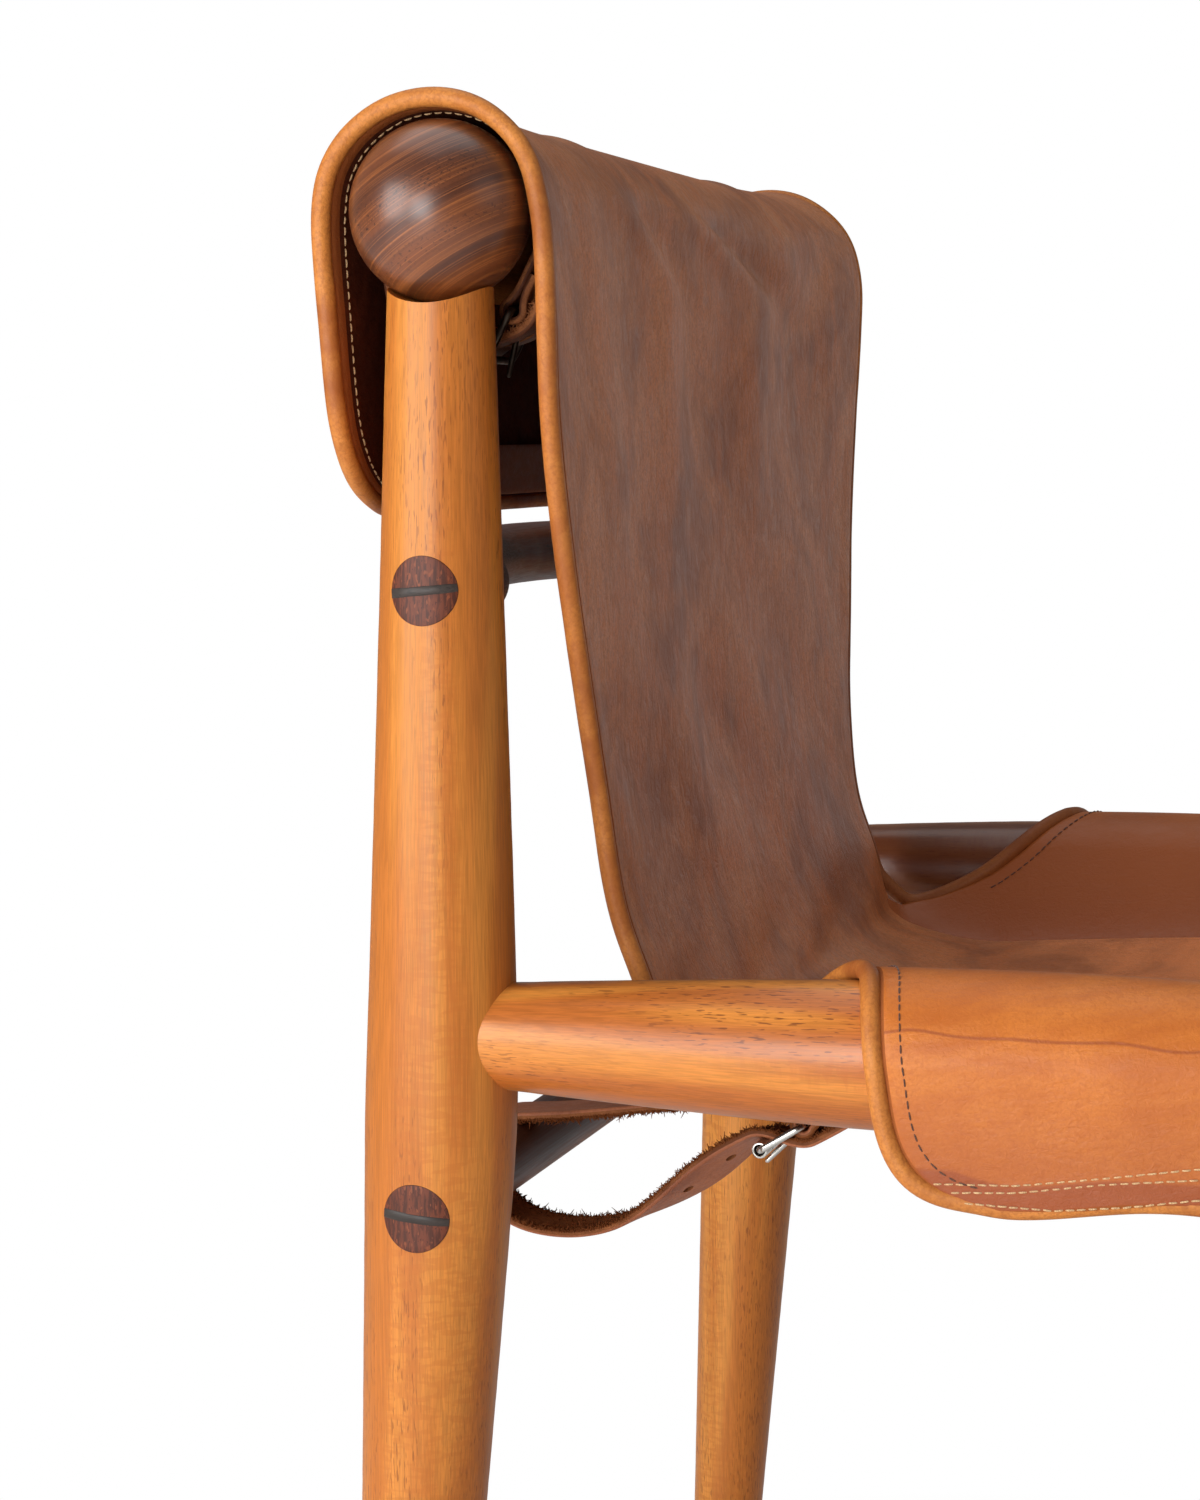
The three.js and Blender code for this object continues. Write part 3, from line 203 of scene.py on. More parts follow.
@dataclass(frozen=True)
class ChairSizes:
    """Driving sizes of the frame that the other classes share."""

    ball_height: float = 725 * MM
    rail_height: float = 425 * MM
    half_spread: float = 255 * MM
    depth: float = 440 * MM
    ball_radius: float = 33 * MM
    leg_widest_height: float = 397 * MM
    leg_widest_radius: float = 28.2 * MM
    leg_top_radius: float = 18.3 * MM
    foot_radius: float = 14.5 * MM
    leg_softness: float = 0.6 * MM
    foot_kick: float = 22 * MM
    kick_bend_share: float = 0.1
    back_rail_height: float = 589 * MM
    stretcher_height: float = 361 * MM
    tenon_radius: float = 12.7 * MM
    leather: float = 4 * MM
    clearance: float = 0.8 * MM

    @property
    def axis_y(self) -> float:
        """Where the rear legs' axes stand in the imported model: the top rail's middle."""
        low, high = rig.box("top_rail")
        return (low.y + high.y) / 2

    def leg_radius(self, height: Array, top_radius: float, top_height: float) -> Array:
        """Radius of a leg, two long cones eased where they meet.

        Args:
            height: Heights above the floor.
            top_radius: The upper cone's radius at top_height.
            top_height: Where the upper cone ends.

        Returns:
            The radius at each height.
        """
        widest = self.leg_widest_radius + self.leg_softness
        lower = self.foot_radius + (widest - self.foot_radius) * height / self.leg_widest_height
        above = (top_height - height) / (top_height - self.leg_widest_height)
        upper = top_radius + (widest - top_radius) * above
        return (lower + upper) / 2 - np.hypot((lower - upper) / 2, self.leg_softness)

    def rear_leg_radius(self, height: Array | float) -> Array:
        """Radius of a rear leg at a height."""
        return self.leg_radius(np.asarray(height, float), self.leg_top_radius, self.ball_height)

    def rear_leg_back(self, height: Array | float) -> Array:
        """How far behind the leg axes a rear leg's middle stands at a height."""
        below = (self.leg_widest_height - np.asarray(height, float)) / self.leg_widest_height
        return self.foot_kick * (below + np.hypot(below, self.kick_bend_share)) / 2


SIZES = ChairSizes()
AXIS_Y = SIZES.axis_y


def ease(value: Array | float, low: float, high: float) -> Array:
    """A smooth step from 0 at low to 1 at high."""
    t = np.clip((np.asarray(value, float) - low) / (high - low), 0, 1)
    return t * t * (3 - 2 * t)


def bell(value: Array, middle: Array | float, width: float) -> Array:
    """A bell curve that is 1 at its middle."""
    return np.exp(-(((value - middle) / width) ** 2))


def xyz(x: Array | float, y: Array | float, z: Array | float) -> Array:
    """Points from their coordinates, some of which may be the same for all."""
    return np.stack(np.broadcast_arrays(x, y, z), axis=-1)


def unit(vectors: Array) -> Array:
    """The vectors at length 1."""
    return vectors / np.maximum(np.linalg.norm(vectors, axis=-1, keepdims=True), 1e-12)


def srgb(red: int, green: int, blue: int) -> Colour:
    """A colour given as it looks on a screen, for a shader.

    Args:
        red: 0 to 255.
        green: 0 to 255.
        blue: 0 to 255.

    Returns:
        The linear colour with alpha.
    """
    linear = [((c / 255 + 0.055) / 1.055) ** 2.4 if c > 10 else c / 255 / 12.92 for c in (red, green, blue)]
    return (*linear, 1.0)


def catmull(values: Array, at: Array) -> Array:
    """A smooth curve through values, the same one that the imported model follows.

    Args:
        values: Values at 0, 1, 2 and so on.
        at: Where the curve is read.

    Returns:
        The curve's values.
    """
    index = np.clip(np.floor(at).astype(int), 0, len(values) - 2)
    t = at - index
    padded = np.concatenate([[2 * values[0] - values[1]], values, [2 * values[-1] - values[-2]]])
    p0, p1, p2, p3 = (padded[index + k] for k in range(4))
    slope1, slope2 = (p2 - p0) / 2, (p3 - p1) / 2
    return p1 + t * (slope1 + t * (3 * (p2 - p1) - 2 * slope1 - slope2 + t * (2 * (p1 - p2) + slope1 + slope2)))


def run_along(path: Array) -> Array:
    """Distance along a path at each of its points."""
    return np.concatenate([[0], np.cumsum(np.linalg.norm(np.diff(path, axis=0), axis=1))])


def read_along(values: Array, run: Array, at: Array | float) -> Array:
    """Values given at distances along a path, read at other distances."""
    return np.stack([np.interp(at, run, column) for column in values.T], axis=-1)


def circle(sides: int) -> Array:
    """Angles of points evenly round a circle."""
    return np.linspace(0, 2 * math.pi, sides, endpoint=False)


def spaced(path: Array, step: float) -> Array:
    """The path again with points an even step apart.

    Args:
        path: Points, one a row.
        step: Distance between the new points.

    Returns:
        The new points, ends included.
    """
    run = run_along(path)
    count = max(2, round(run[-1] / step) + 1)
    at = np.linspace(0, run[-1], count)
    return read_along(path, run, at)


def softened(points: Array, rounds: int = 3) -> Array:
    """A path with its corners cut again and again, ends kept."""
    for _ in range(rounds):
        cut = np.empty((2 * len(points) - 2, points.shape[1]))
        cut[0::2] = 0.75 * points[:-1] + 0.25 * points[1:]
        cut[1::2] = 0.25 * points[:-1] + 0.75 * points[1:]
        points = np.concatenate([points[:1], cut, points[-1:]])
    return points


def noise_1d(at: Array, seed: int, period: float) -> Array:
    """Smooth random values from -1 to 1 along a line.

    Args:
        at: Places along the line.
        seed: Which random line.
        period: Distance between its random knots.

    Returns:
        One value a place.
    """
    knots = np.random.default_rng(seed).uniform(-1, 1, 512)
    where = (np.asarray(at, float) / period) % 500
    index = np.floor(where).astype(int)
    t = ease(where - index, 0, 1)
    return knots[index] * (1 - t) + knots[index + 1] * t


def placed(name: str, data: bpy.types.ID) -> bpy.types.Object:
    """A new object of the scene.

    Args:
        name: Its name.
        data: Its mesh, camera or lamp.

    Returns:
        The object.
    """
    made = bpy.data.objects.new(name, data)
    bpy.context.scene.collection.objects.link(made)
    return made


@dataclass
class Mould:
    """Gathers closed bodies into one mesh."""

    points: list[Array] = field(default_factory=list)
    faces: Faces = field(default_factory=list)
    slots: list[int] = field(default_factory=list)
    values: list[Array] = field(default_factory=list)
    count: int = 0
    sharp_angle: float = math.radians(38)

    def add(self, points: Array, faces: Faces, slots: int | Sequence[int] = 0, value: Array | float = 0.0) -> None:
        """Adds one body.

        Args:
            points: Its points, one a row.
            faces: Its faces, by the numbers of its own points.
            slots: The finish of every face, or of each.
            value: A value of each point, kept as the mesh's "share".
        """
        self.points.append(np.asarray(points, float))
        self.faces.extend(tuple(i + self.count for i in face) for face in faces)
        self.slots.extend([slots] * len(faces) if isinstance(slots, int) else slots)
        self.values.append(np.broadcast_to(value, len(points)))
        self.count += len(points)

    def mesh(self, name: str, finishes: Sequence[bpy.types.Material]) -> bpy.types.Mesh:
        """The gathered bodies as one mesh.

        Args:
            name: Its name.
            finishes: Its materials, in the order of the faces' slots.

        Returns:
            The mesh.
        """
        mesh = bpy.data.meshes.new(name)
        points = np.concatenate(self.points) + (0, AXIS_Y, 0)
        mesh.from_pydata(points.tolist(), [], self.faces)
        for finish in finishes:
            mesh.materials.append(finish)
        mesh.polygons.foreach_set("material_index", self.slots)
        mesh.polygons.foreach_set("use_smooth", [True] * len(self.faces))
        share = mesh.attributes.new("share", "FLOAT", "POINT")
        share.data.foreach_set("value", np.concatenate(self.values).astype(np.float32))
        mesh.validate()
        mesh.set_sharp_from_angle(angle=self.sharp_angle)
        mesh.update()
        LOG.info("%s: %d faces", name, len(self.faces))
        return mesh


def grid_faces(rows: int, columns: int, wrap: bool, first: int = 0, closed: bool = False) -> Faces:
    """Quads between rows of points.

    Args:
        rows: How many rows.
        columns: Points in a row.
        wrap: Whether each row closes on itself.
        first: The number of the first point.
        closed: Whether the last row joins the first.

    Returns:
        The faces.
    """

    def number(r: int, c: int) -> int:
        """The number of the point at a row and a column."""
        return first + r % rows * columns + c % columns

    return [
        (number(r, c), number(r, c + 1), number(r + 1, c + 1), number(r + 1, c))
        for r in range(rows if closed else rows - 1)
        for c in range(columns if wrap else columns - 1)
    ]


def frames_along(path: Array, hint: Sequence[float]) -> tuple[Array, Array, Array]:
    """Directions that follow a path without twisting.

    Args:
        path: Points, one a row.
        hint: A direction that the first normal lies close to.

    Returns:
        Tangents, normals and binormals.
    """
    tangents = unit(np.gradient(path, axis=0))
    normals = np.empty_like(path)
    normal = np.asarray(hint, float)
    for i, tangent in enumerate(tangents):
        normal = normal - tangent * (normal @ tangent)
        normal = normal / np.linalg.norm(normal)
        normals[i] = normal
    return tangents, normals, np.cross(tangents, normals)


def tube(path: Array, radius: Array | float, sides: int, hint: Sequence[float] = (0, 0, 1)) -> tuple[Array, Faces]:
    """A round closed body along a path.

    Args:
        path: Its middle line.
        radius: Its radius, the same all along or one for each point.
        sides: Points round it.
        hint: A direction that its first point lies in.

    Returns:
        Points and faces.
    """
    _, normals, binormals = frames_along(path, hint)
    angles = circle(sides)
    radii = np.broadcast_to(radius, len(path))[:, None, None]
    rings = path[:, None] + radii * (
        normals[:, None] * np.cos(angles)[None, :, None] + binormals[:, None] * np.sin(angles)[None, :, None]
    )
    faces = grid_faces(len(path), sides, True)
    last = (len(path) - 1) * sides
    faces.append(tuple(reversed(range(sides))))
    faces.append(tuple(range(last, last + sides)))
    return rings.reshape(-1, 3), faces


def domed(path: Array, radius: float, start: bool = True, end: bool = True) -> tuple[Array, Array]:
    """A path and radii whose ends are rounded off.

    Args:
        path: The middle line from tip to tip.
        radius: The radius between the tips.
        start: Whether the start is rounded.
        end: Whether the end is rounded.

    Returns:
        The path with added points, and a radius for each.
    """
    angles = np.radians([90, 70, 45, 20])
    tangents = unit(np.gradient(path, axis=0))
    radii = np.full(len(path), radius)
    if start:
        cap = path[0] + tangents[0] * radius * (1 - np.sin(angles))[:, None]
        path, radii = np.concatenate([cap, path[1:]]), np.concatenate([radius * np.cos(angles) + 1e-6, radii[1:]])
    if end:
        cap = path[-1] - tangents[-1] * radius * (1 - np.sin(angles[::-1]))[:, None]
        path = np.concatenate([path[:-1], cap])
        radii = np.concatenate([radii[:-1], radius * np.cos(angles[::-1]) + 1e-6])
    return path, radii


def surface_normals(surface: Array) -> Array:
    """Normals of a grid of points: across its columns crossed with across its rows."""
    return unit(np.cross(np.gradient(surface, axis=1), np.gradient(surface, axis=0)))


def shell(surface: Array, thickness: float, front: int = 0, back: int = 0) -> tuple[Array, Faces, list[int]]:
    """A closed sheet of even thickness with a rounded rim, about a grid of points.

    Args:
        surface: Rows of points on its middle surface.
        thickness: Its thickness.
        front: The finish of the side that the normals point to.
        back: The finish of the other side and the rim.

    Returns:
        Points, faces and the finish of each face.
    """
    rows, columns = surface.shape[:2]
    normals = surface_normals(surface)
    half = thickness / 2
    loop = (
        [(0, c) for c in range(columns)]
        + [(r, columns - 1) for r in range(1, rows)]
        + [(rows - 1, c) for c in range(columns - 2, -1, -1)]
        + [(r, 0) for r in range(rows - 2, 0, -1)]
    )
    edge = np.array([surface[r, c] for r, c in loop])
    edge_normals = np.array([normals[r, c] for r, c in loop])
    along = unit(np.roll(edge, -1, axis=0) - np.roll(edge, 1, axis=0))
    outward = unit(np.cross(along, edge_normals))
    points = [
        (surface + normals * half).reshape(-1, 3),
        (surface - normals * half).reshape(-1, 3),
        edge + outward * half * 0.7 + edge_normals * half * 0.6,
        edge + outward * half * 0.7 - edge_normals * half * 0.6,
    ]
    count, around = rows * columns, len(loop)
    faces = grid_faces(rows, columns, False)
    slots = [front] * len(faces)
    under = [tuple(reversed(face)) for face in grid_faces(rows, columns, False, count)]
    faces += under
    top = [r * columns + c for r, c in loop]
    low = [count + i for i in top]
    ring_a, ring_b = 2 * count, 2 * count + around
    for k in range(around):
        n = (k + 1) % around
        faces.append((top[k], ring_a + k, ring_a + n, top[n]))
        faces.append((ring_a + k, ring_b + k, ring_b + n, ring_a + n))
        faces.append((ring_b + k, low[k], low[n], ring_b + n))
    slots += [back] * (len(faces) - len(slots))
    return np.concatenate(points), faces, slots


@dataclass
class Shader:
    """Builds the nodes of one material."""

    name: str

    def __post_init__(self) -> None:
        """Makes the material with one principled shader."""
        self.material = bpy.data.materials.new(self.name)
        self.material.use_nodes = True
        self.nodes = self.material.node_tree.nodes
        self.links = self.material.node_tree.links
        self.surface = self.nodes["Principled BSDF"]
        self.place = self.nodes.new("ShaderNodeTexCoord").outputs["Object"]

    def constant(self, **values: float) -> None:
        """Sets sockets of the principled shader, given by name with _ for a space."""
        for key, value in values.items():
            self.surface.inputs[key.replace("_", " ")].default_value = value

    def drive(self, key: str, socket: Socket) -> None:
        """Links a socket to an input of the principled shader."""
        self.links.new(socket, self.surface.inputs[key])

    def scaled(
        self, scale: Sequence[float], degrees: Sequence[float] = (0, 0, 0), offset: Sequence[float] = (0, 0, 0)
    ) -> Socket:
        """Object coordinates turned, moved and scaled.

        Args:
            scale: Along X, Y and Z.
            degrees: Turn about X, Y and Z.
            offset: Shift along X, Y and Z.

        Returns:
            The coordinates.
        """
        turn = self.nodes.new("ShaderNodeMapping")
        turn.inputs["Rotation"].default_value = [math.radians(d) for d in degrees]
        self.links.new(self.place, turn.inputs["Vector"])
        stretch = self.nodes.new("ShaderNodeMapping")
        stretch.inputs["Scale"].default_value = scale
        stretch.inputs["Location"].default_value = offset
        self.links.new(turn.outputs["Vector"], stretch.inputs["Vector"])
        return stretch.outputs["Vector"]

    def noise(
        self, at: Socket, scale: float, detail: float = 2, bend: float = 0, rough: float = 0.5
    ) -> Socket:
        """Soft random values from 0 to 1.

        Args:
            at: Coordinates.
            scale: Features to a metre.
            detail: How many finer layers.
            bend: How much it is distorted.
            rough: Share of the finer layers.

        Returns:
            The value.
        """
        node = self.nodes.new("ShaderNodeTexNoise")
        node.inputs["Scale"].default_value = scale
        node.inputs["Detail"].default_value = detail
        node.inputs["Distortion"].default_value = bend
        node.inputs["Roughness"].default_value = rough
        self.links.new(at, node.inputs["Vector"])
        return node.outputs["Fac"]

    def cells(self, at: Socket, scale: float) -> Socket:
        """Rounded cells: the distance to each one's middle."""
        node = self.nodes.new("ShaderNodeTexVoronoi")
        node.feature = "SMOOTH_F1"
        node.inputs["Scale"].default_value = scale
        node.inputs["Smoothness"].default_value = 0.35
        self.links.new(at, node.inputs["Vector"])
        return node.outputs["Distance"]

    def sums(self, kind: str, a: Socket, b: Socket | float = 0) -> Socket:
        """One step of arithmetic.

        Args:
            kind: The step's name.
            a: First value.
            b: Second value.

        Returns:
            The result.
        """
        node = self.nodes.new("ShaderNodeMath")
        node.operation = kind
        self.links.new(a, node.inputs[0])
        if isinstance(b, (int, float)):
            node.inputs[1].default_value = b
        else:
            self.links.new(b, node.inputs[1])
        return node.outputs["Value"]

    def times(self, a: Socket, b: Socket | float) -> Socket:
        """The product of two values."""
        return self.sums("MULTIPLY", a, b)

    def apart(self, a: Socket, b: float) -> Socket:
        """How far two values lie apart."""
        return self.sums("ABSOLUTE", self.sums("SUBTRACT", a, b))

    def axes(self, place: Socket) -> dict[str, Socket]:
        """Coordinates, one by one."""
        node = self.nodes.new("ShaderNodeSeparateXYZ")
        self.links.new(place, node.inputs[0])
        return {key: node.outputs[key] for key in "XYZ"}

    def span(self, value: Socket, low: float, high: float, first: float = 0, last: float = 1) -> Socket:
        """A value eased from first at low to last at high.

        Args:
            value: What is read.
            low: Where it starts.
            high: Where it ends.
            first: The result at low.
            last: The result at high.

        Returns:
            The result.
        """
        node = self.nodes.new("ShaderNodeMapRange")
        node.interpolation_type = "SMOOTHSTEP"
        self.links.new(value, node.inputs["Value"])
        for key, number in (("From Min", low), ("From Max", high), ("To Min", first), ("To Max", last)):
            node.inputs[key].default_value = number
        return node.outputs["Result"]

    def mix(
        self,
        share: Socket | float,
        a: Socket | Sequence[float],
        b: Socket | Sequence[float],
        kind: str = "MIX",
    ) -> Socket:
        """Blends two colours.

        Args:
            share: How much of b.
            a: First colour.
            b: Second colour.
            kind: The way of blending.

        Returns:
            The colour.
        """
        node = self.nodes.new("ShaderNodeMix")
        node.data_type, node.blend_type = "RGBA", kind
        for key, value in ((0, share), (6, a), (7, b)):
            if isinstance(value, Socket):
                self.links.new(value, node.inputs[key])
            else:
                node.inputs[key].default_value = value
        return node.outputs[2]

    def share(self) -> Socket:
        """The mesh's own value at each point."""
        node = self.nodes.new("ShaderNodeAttribute")
        node.attribute_name = "share"
        return node.outputs["Fac"]

    def relief(self, height: Socket, depth: float, strength: float = 1) -> None:
        """Raises the surface by a height from 0 to 1, one relief on top of another.

        Args:
            height: The height.
            depth: How many metres 1 stands for.
            strength: How much of it is used.
        """
        node = self.nodes.new("ShaderNodeBump")
        node.inputs["Distance"].default_value = depth
        node.inputs["Strength"].default_value = strength
        self.links.new(height, node.inputs["Height"])
        if self.surface.inputs["Normal"].is_linked:
            self.links.new(self.surface.inputs["Normal"].links[0].from_socket, node.inputs["Normal"])
        self.drive("Normal", node.outputs["Normal"])


@dataclass(frozen=True)
class WoodFinish:
    """Oiled wood: growth figure, fibres, pores and a ripple across the grain."""

    light: Colour
    dark: Colour
    pore: Colour
    grain: Grain
    tilt: float = 0
    figure_scale: float = 34
    figure_lines: float = 22
    figure_share: float = 0.55
    pore_share: float = 0.55
    ripple_share: float = 0.25
    roughness: float = 0.42
    coat: float = 0.15
    coat_roughness: float = 0.25
    pore_length: float = 0.1
    lines: Colour | None = None
    specular: float = 0.3
    # inner: painted shade, a darker colour on the side of a rail that faces into the chair
    inner: Colour | None = None
    inner_across: Limits = (246 * MM, 264 * MM)
    patch_scale: float = 9
    fibre_scale: float = 1500
    fibre_stretch: float = 0.018
    line_scale: float = 190
    line_stretch: tuple[float, float, float] = (0.004, 0.004, 1)
    line_layers: tuple[Limits, ...] = ((3, 0.55), (8, 0.5), (12, 0.45), (17, 0.4))

    def along(self, stretch: float) -> list[float]:
        """Scales that draw features out along the grain."""
        return [v if v == 1 else stretch for v in self.grain.value]

    def make(self, name: str) -> bpy.types.Material:
        """The finish as a material."""
        s = Shader(name)
        turn = (self.tilt, 0, 0)
        long = s.scaled(self.grain.value, turn)
        fibre_at = s.scaled(self.along(self.fibre_stretch), turn, (3, 1, 2))
        pore_at = s.scaled(self.along(self.pore_length), turn, (1, 4, 2))
        broad = s.noise(long, self.figure_scale, 2, 0.3)
        bands = s.sums("SINE", s.times(broad, self.figure_lines))
        figure = s.span(bands, -1, 1, 0.5 - self.figure_share / 2, 0.5 + self.figure_share / 2)
        colour = s.mix(figure, self.light, self.dark)
        patch = s.noise(long, self.patch_scale, 1)
        colour = s.mix(s.span(patch, 0.35, 0.7, 0, 0.35), colour, self.dark)
        fibre = s.noise(fibre_at, self.fibre_scale, 2, 0, 0.65)
        shade = s.span(fibre, 0.28, 0.72, 0.82, 1.1)
        grey = s.nodes.new("ShaderNodeCombineColor")
        for key in ("Red", "Green", "Blue"):
            s.links.new(shade, grey.inputs[key])
        colour = s.mix(1.0, colour, grey.outputs["Color"], "MULTIPLY")
        if self.lines:
            for shift, strength in self.line_layers:
                seams = s.noise(s.scaled(self.line_stretch, turn, (0, 0, shift)), self.line_scale, 1)
                thin = s.span(s.apart(seams, 0.5), 0.001, 0.016, strength, 0)
                colour = s.mix(thin, colour, self.lines)
        pores = s.span(s.noise(pore_at, self.fibre_scale, 1), 0.6, 0.67)
        thick = s.span(s.noise(long, 60, 1), 0.4, 0.62, 0.1, 1)
        colour = s.mix(s.times(s.times(pores, thick), self.pore_share), colour, self.pore)
        across = [0.3 if v == 1 else 1 for v in self.grain.value]
        ripple = s.span(s.noise(s.scaled(across, turn, (5, 2, 7)), 420, 1, 0.2), 0.45, 0.6)
        where = s.span(s.noise(long, 30, 1), 0.48, 0.6)
        ripple = s.times(s.times(ripple, where), self.ripple_share)
        colour = s.mix(ripple, colour, self.dark)
        # painted shade: the side of the rail that faces into the chair, under the flaps and sling, is darkened
        if self.inner:
            across = s.sums("ABSOLUTE", s.axes(s.scaled((1, 1, 1)))["X"])
            colour = s.mix(s.span(across, *self.inner_across, 0.92, 0), colour, self.inner)
        s.drive("Base Color", colour)
        s.drive("Roughness", s.span(fibre, 0.3, 0.7, self.roughness - 0.05, self.roughness + 0.08))
        s.constant(Coat_Weight=self.coat, Coat_Roughness=self.coat_roughness, Specular_IOR_Level=self.specular)
        s.relief(pores, 0.0001, -0.5)
        s.relief(fibre, 0.00005, 0.4)
        return s.material


@dataclass(frozen=True)
class EndGrainFinish:
    """Wood cut across: fine rays, open pores and flecks."""

    base: Colour
    line: Colour
    fleck: Colour
    roughness: float = 0.5

    def make(self, name: str) -> bpy.types.Material:
        """The finish as a material."""
        s = Shader(name)
        rays = s.noise(s.scaled((1, 1, 0.14)), 900, 2, 0.2)
        dots = s.noise(s.scaled((1, 1, 0.5)), 1500, 1)
        colour = s.mix(s.span(rays, 0.4, 0.62), self.base, self.line)
        specks = s.noise(s.scaled((1, 1, 0.4), (0, 0, 0), (4, 4, 4)), 800, 1)
        colour = s.mix(s.span(specks, 0.6, 0.7), colour, self.fleck)
        holes = s.span(dots, 0.62, 0.7)
        colour = s.mix(holes, colour, self.line)
        s.drive("Base Color", colour)
        s.constant(Roughness=self.roughness, Specular_IOR_Level=0.35)
        s.relief(holes, 0.0002, -0.7)
        return s.material


@dataclass(frozen=True)
class LeatherFinish:
    """Leather: pebbled grain, wrinkles, mottling and pull-up streaks."""

    base: Colour
    warm: Colour
    dark: Colour
    pebble: float = 900
    pebble_depth: float = 0.00012
    wrinkle_stretch: tuple[float, float, float] = (1, 1, 1)
    wrinkle_depth: float = 0.0006
    warm_share: float = 0.6
    roughness: float = 0.42
    coat: float = 0.1
    edge_colour: Colour | None = None
    edge_width: float = 5 * MM
    groove_at: float | None = None
    specular: float = 0.3
    # a darker colour for the inner part of a flap, towards the seat
    worn: Colour | None = None
    crease_at: float | None = None
    hem: Colour | None = None
    tan: Colour | None = None
    # far: painted shade, a darker colour on the piping on the far side (+X)
    far: Colour | None = None
    seat_ahead: Limits = (70 * MM, -60 * MM)
    seat_heights: Limits = (470 * MM, 410 * MM)
    worn_across: Limits = (236 * MM, 264 * MM)
    far_across: Limits = (100 * MM, 170 * MM)
    far_heights: Limits = (640 * MM, 700 * MM)
    hem_heights: Limits = (384 * MM, 430 * MM)
    hem_top: Limits = (391 * MM, 393 * MM)
    hem_reach: Limits = (8 * MM, 9.5 * MM)
    crease_across: Limits = (262 * MM, 266 * MM)
    crease_width: Limits = (0.1 * MM, 0.8 * MM)
    groove_width: float = 0.6 * MM
    edge_blend: float = 0.4 * MM

    def make(self, name: str) -> bpy.types.Material:
        """The finish as a material."""
        s = Shader(name)
        still = s.scaled((1, 1, 1))
        streak_at = s.scaled(self.wrinkle_stretch, (8, 0, 0), (1, 2, 3))
        mottle = s.noise(still, 14, 4, 0.8, 0.6)
        streak = s.noise(streak_at, 22, 2, 1.4, 0.6)
        colour = s.mix(s.span(mottle, 0.35, 0.68), self.base, self.dark)
        warm = s.times(s.span(streak, 0.42, 0.66), self.warm_share)
        colour = s.mix(warm, colour, self.warm)
        fine = s.noise(streak_at, 300, 4, 0.5, 0.7)
        colour = s.mix(s.span(fine, 0.42, 0.75, 0, 0.35), colour, self.dark)
        grainy = s.noise(still, 420, 3, 0.8, 0.65)
        colour = s.mix(s.span(grainy, 0.45, 0.7, 0, 0.4), colour, self.dark)
        pebbles = s.cells(still, self.pebble)
        colour = s.mix(s.span(pebbles, 0.45, 0.8, 0, 0.35), colour, self.dark)
        edge = s.share()
        axes = s.axes(still)
        across, height = s.sums("ABSOLUTE", axes["X"]), axes["Z"]
        if self.tan:
            ahead = s.sums("ADD", axes["Y"], s.span(mottle, 0.3, 0.7, -30 * MM, 30 * MM))
            seat = s.times(s.span(ahead, *self.seat_ahead), s.span(height, *self.seat_heights))
            colour = s.mix(s.times(seat, 0.85), colour, self.tan)
        # darker on the inner part of each flap, towards the seat, by distance from the chair's middle
        if self.worn:
            ragged = s.sums("ADD", across, s.span(mottle, 0.3, 0.7, -8 * MM, 8 * MM))
            colour = s.mix(s.span(ragged, *self.worn_across, 1, 0), colour, self.worn)
        # painted shade: piping towards +X is darkened, most below the hood
        if self.far:
            far = s.span(axes["X"], *self.far_across, 0, 0.7)
            low = s.span(height, *self.far_heights, 1, 0.25)
            colour = s.mix(s.times(far, low), colour, self.far)
        if self.hem:
            colour = s.mix(s.span(height, *self.hem_heights, 0.5, 0), colour, self.hem)
            low = s.times(s.span(height, *self.hem_top, 1, 0), s.span(edge, *self.hem_reach, 1, 0))
            colour = s.mix(s.times(low, 0.85), colour, self.hem)
        # the crease: its dark line is painted shade; its dent in the relief is real
        if self.crease_at:
            wander = s.sums("ADD", height, s.span(s.noise(still, 18, 1), 0.2, 0.8, -3 * MM, 3 * MM))
            away = s.apart(wander, self.crease_at)
            crease = s.times(s.span(away, *self.crease_width, 1, 0), s.span(across, *self.crease_across))
            colour = s.mix(s.times(crease, 0.75), colour, self.hem or self.dark)
            s.relief(crease, 0.0006, -0.8)
        if self.edge_colour:
            rim = s.span(edge, self.edge_width, self.edge_width + self.edge_blend, 1, 0)
            colour = s.mix(rim, colour, self.edge_colour)
        # the groove near the edge: its darker line is painted shade; its dent in the relief is real
        if self.groove_at:
            away = s.apart(edge, self.groove_at)
            groove = s.span(away, 0, self.groove_width, 1, 0)
            colour = s.mix(s.times(groove, 0.5), colour, self.dark)
            s.relief(groove, 0.0004, -0.7)
        s.drive("Base Color", colour)
        wrinkle = s.noise(streak_at, 150, 5, 1.6, 0.65)
        s.drive("Roughness", s.span(wrinkle, 0.3, 0.7, self.roughness - 0.06, self.roughness + 0.1))
        s.constant(Coat_Weight=self.coat, Coat_Roughness=0.35, Specular_IOR_Level=self.specular)
        s.relief(wrinkle, self.wrinkle_depth, 0.6)
        s.relief(s.noise(still, 480, 3, 1.0, 0.6), 0.0005, 0.5)
        s.relief(pebbles, self.pebble_depth, -0.7)
        return s.material


@dataclass(frozen=True)
class ThreadFinish:
    """Waxed thread."""

    colour: Colour
    shade: Colour

    def make(self, name: str) -> bpy.types.Material:
        """The finish as a material."""
        s = Shader(name)
        ply = s.noise(s.scaled((1, 1, 1)), 2600, 1)
        s.drive("Base Color", s.mix(s.span(ply, 0.4, 0.6), self.colour, self.shade))
        s.constant(Roughness=0.7, Sheen_Weight=0.2)
        s.relief(ply, 0.0001, 0.6)
        return s.material


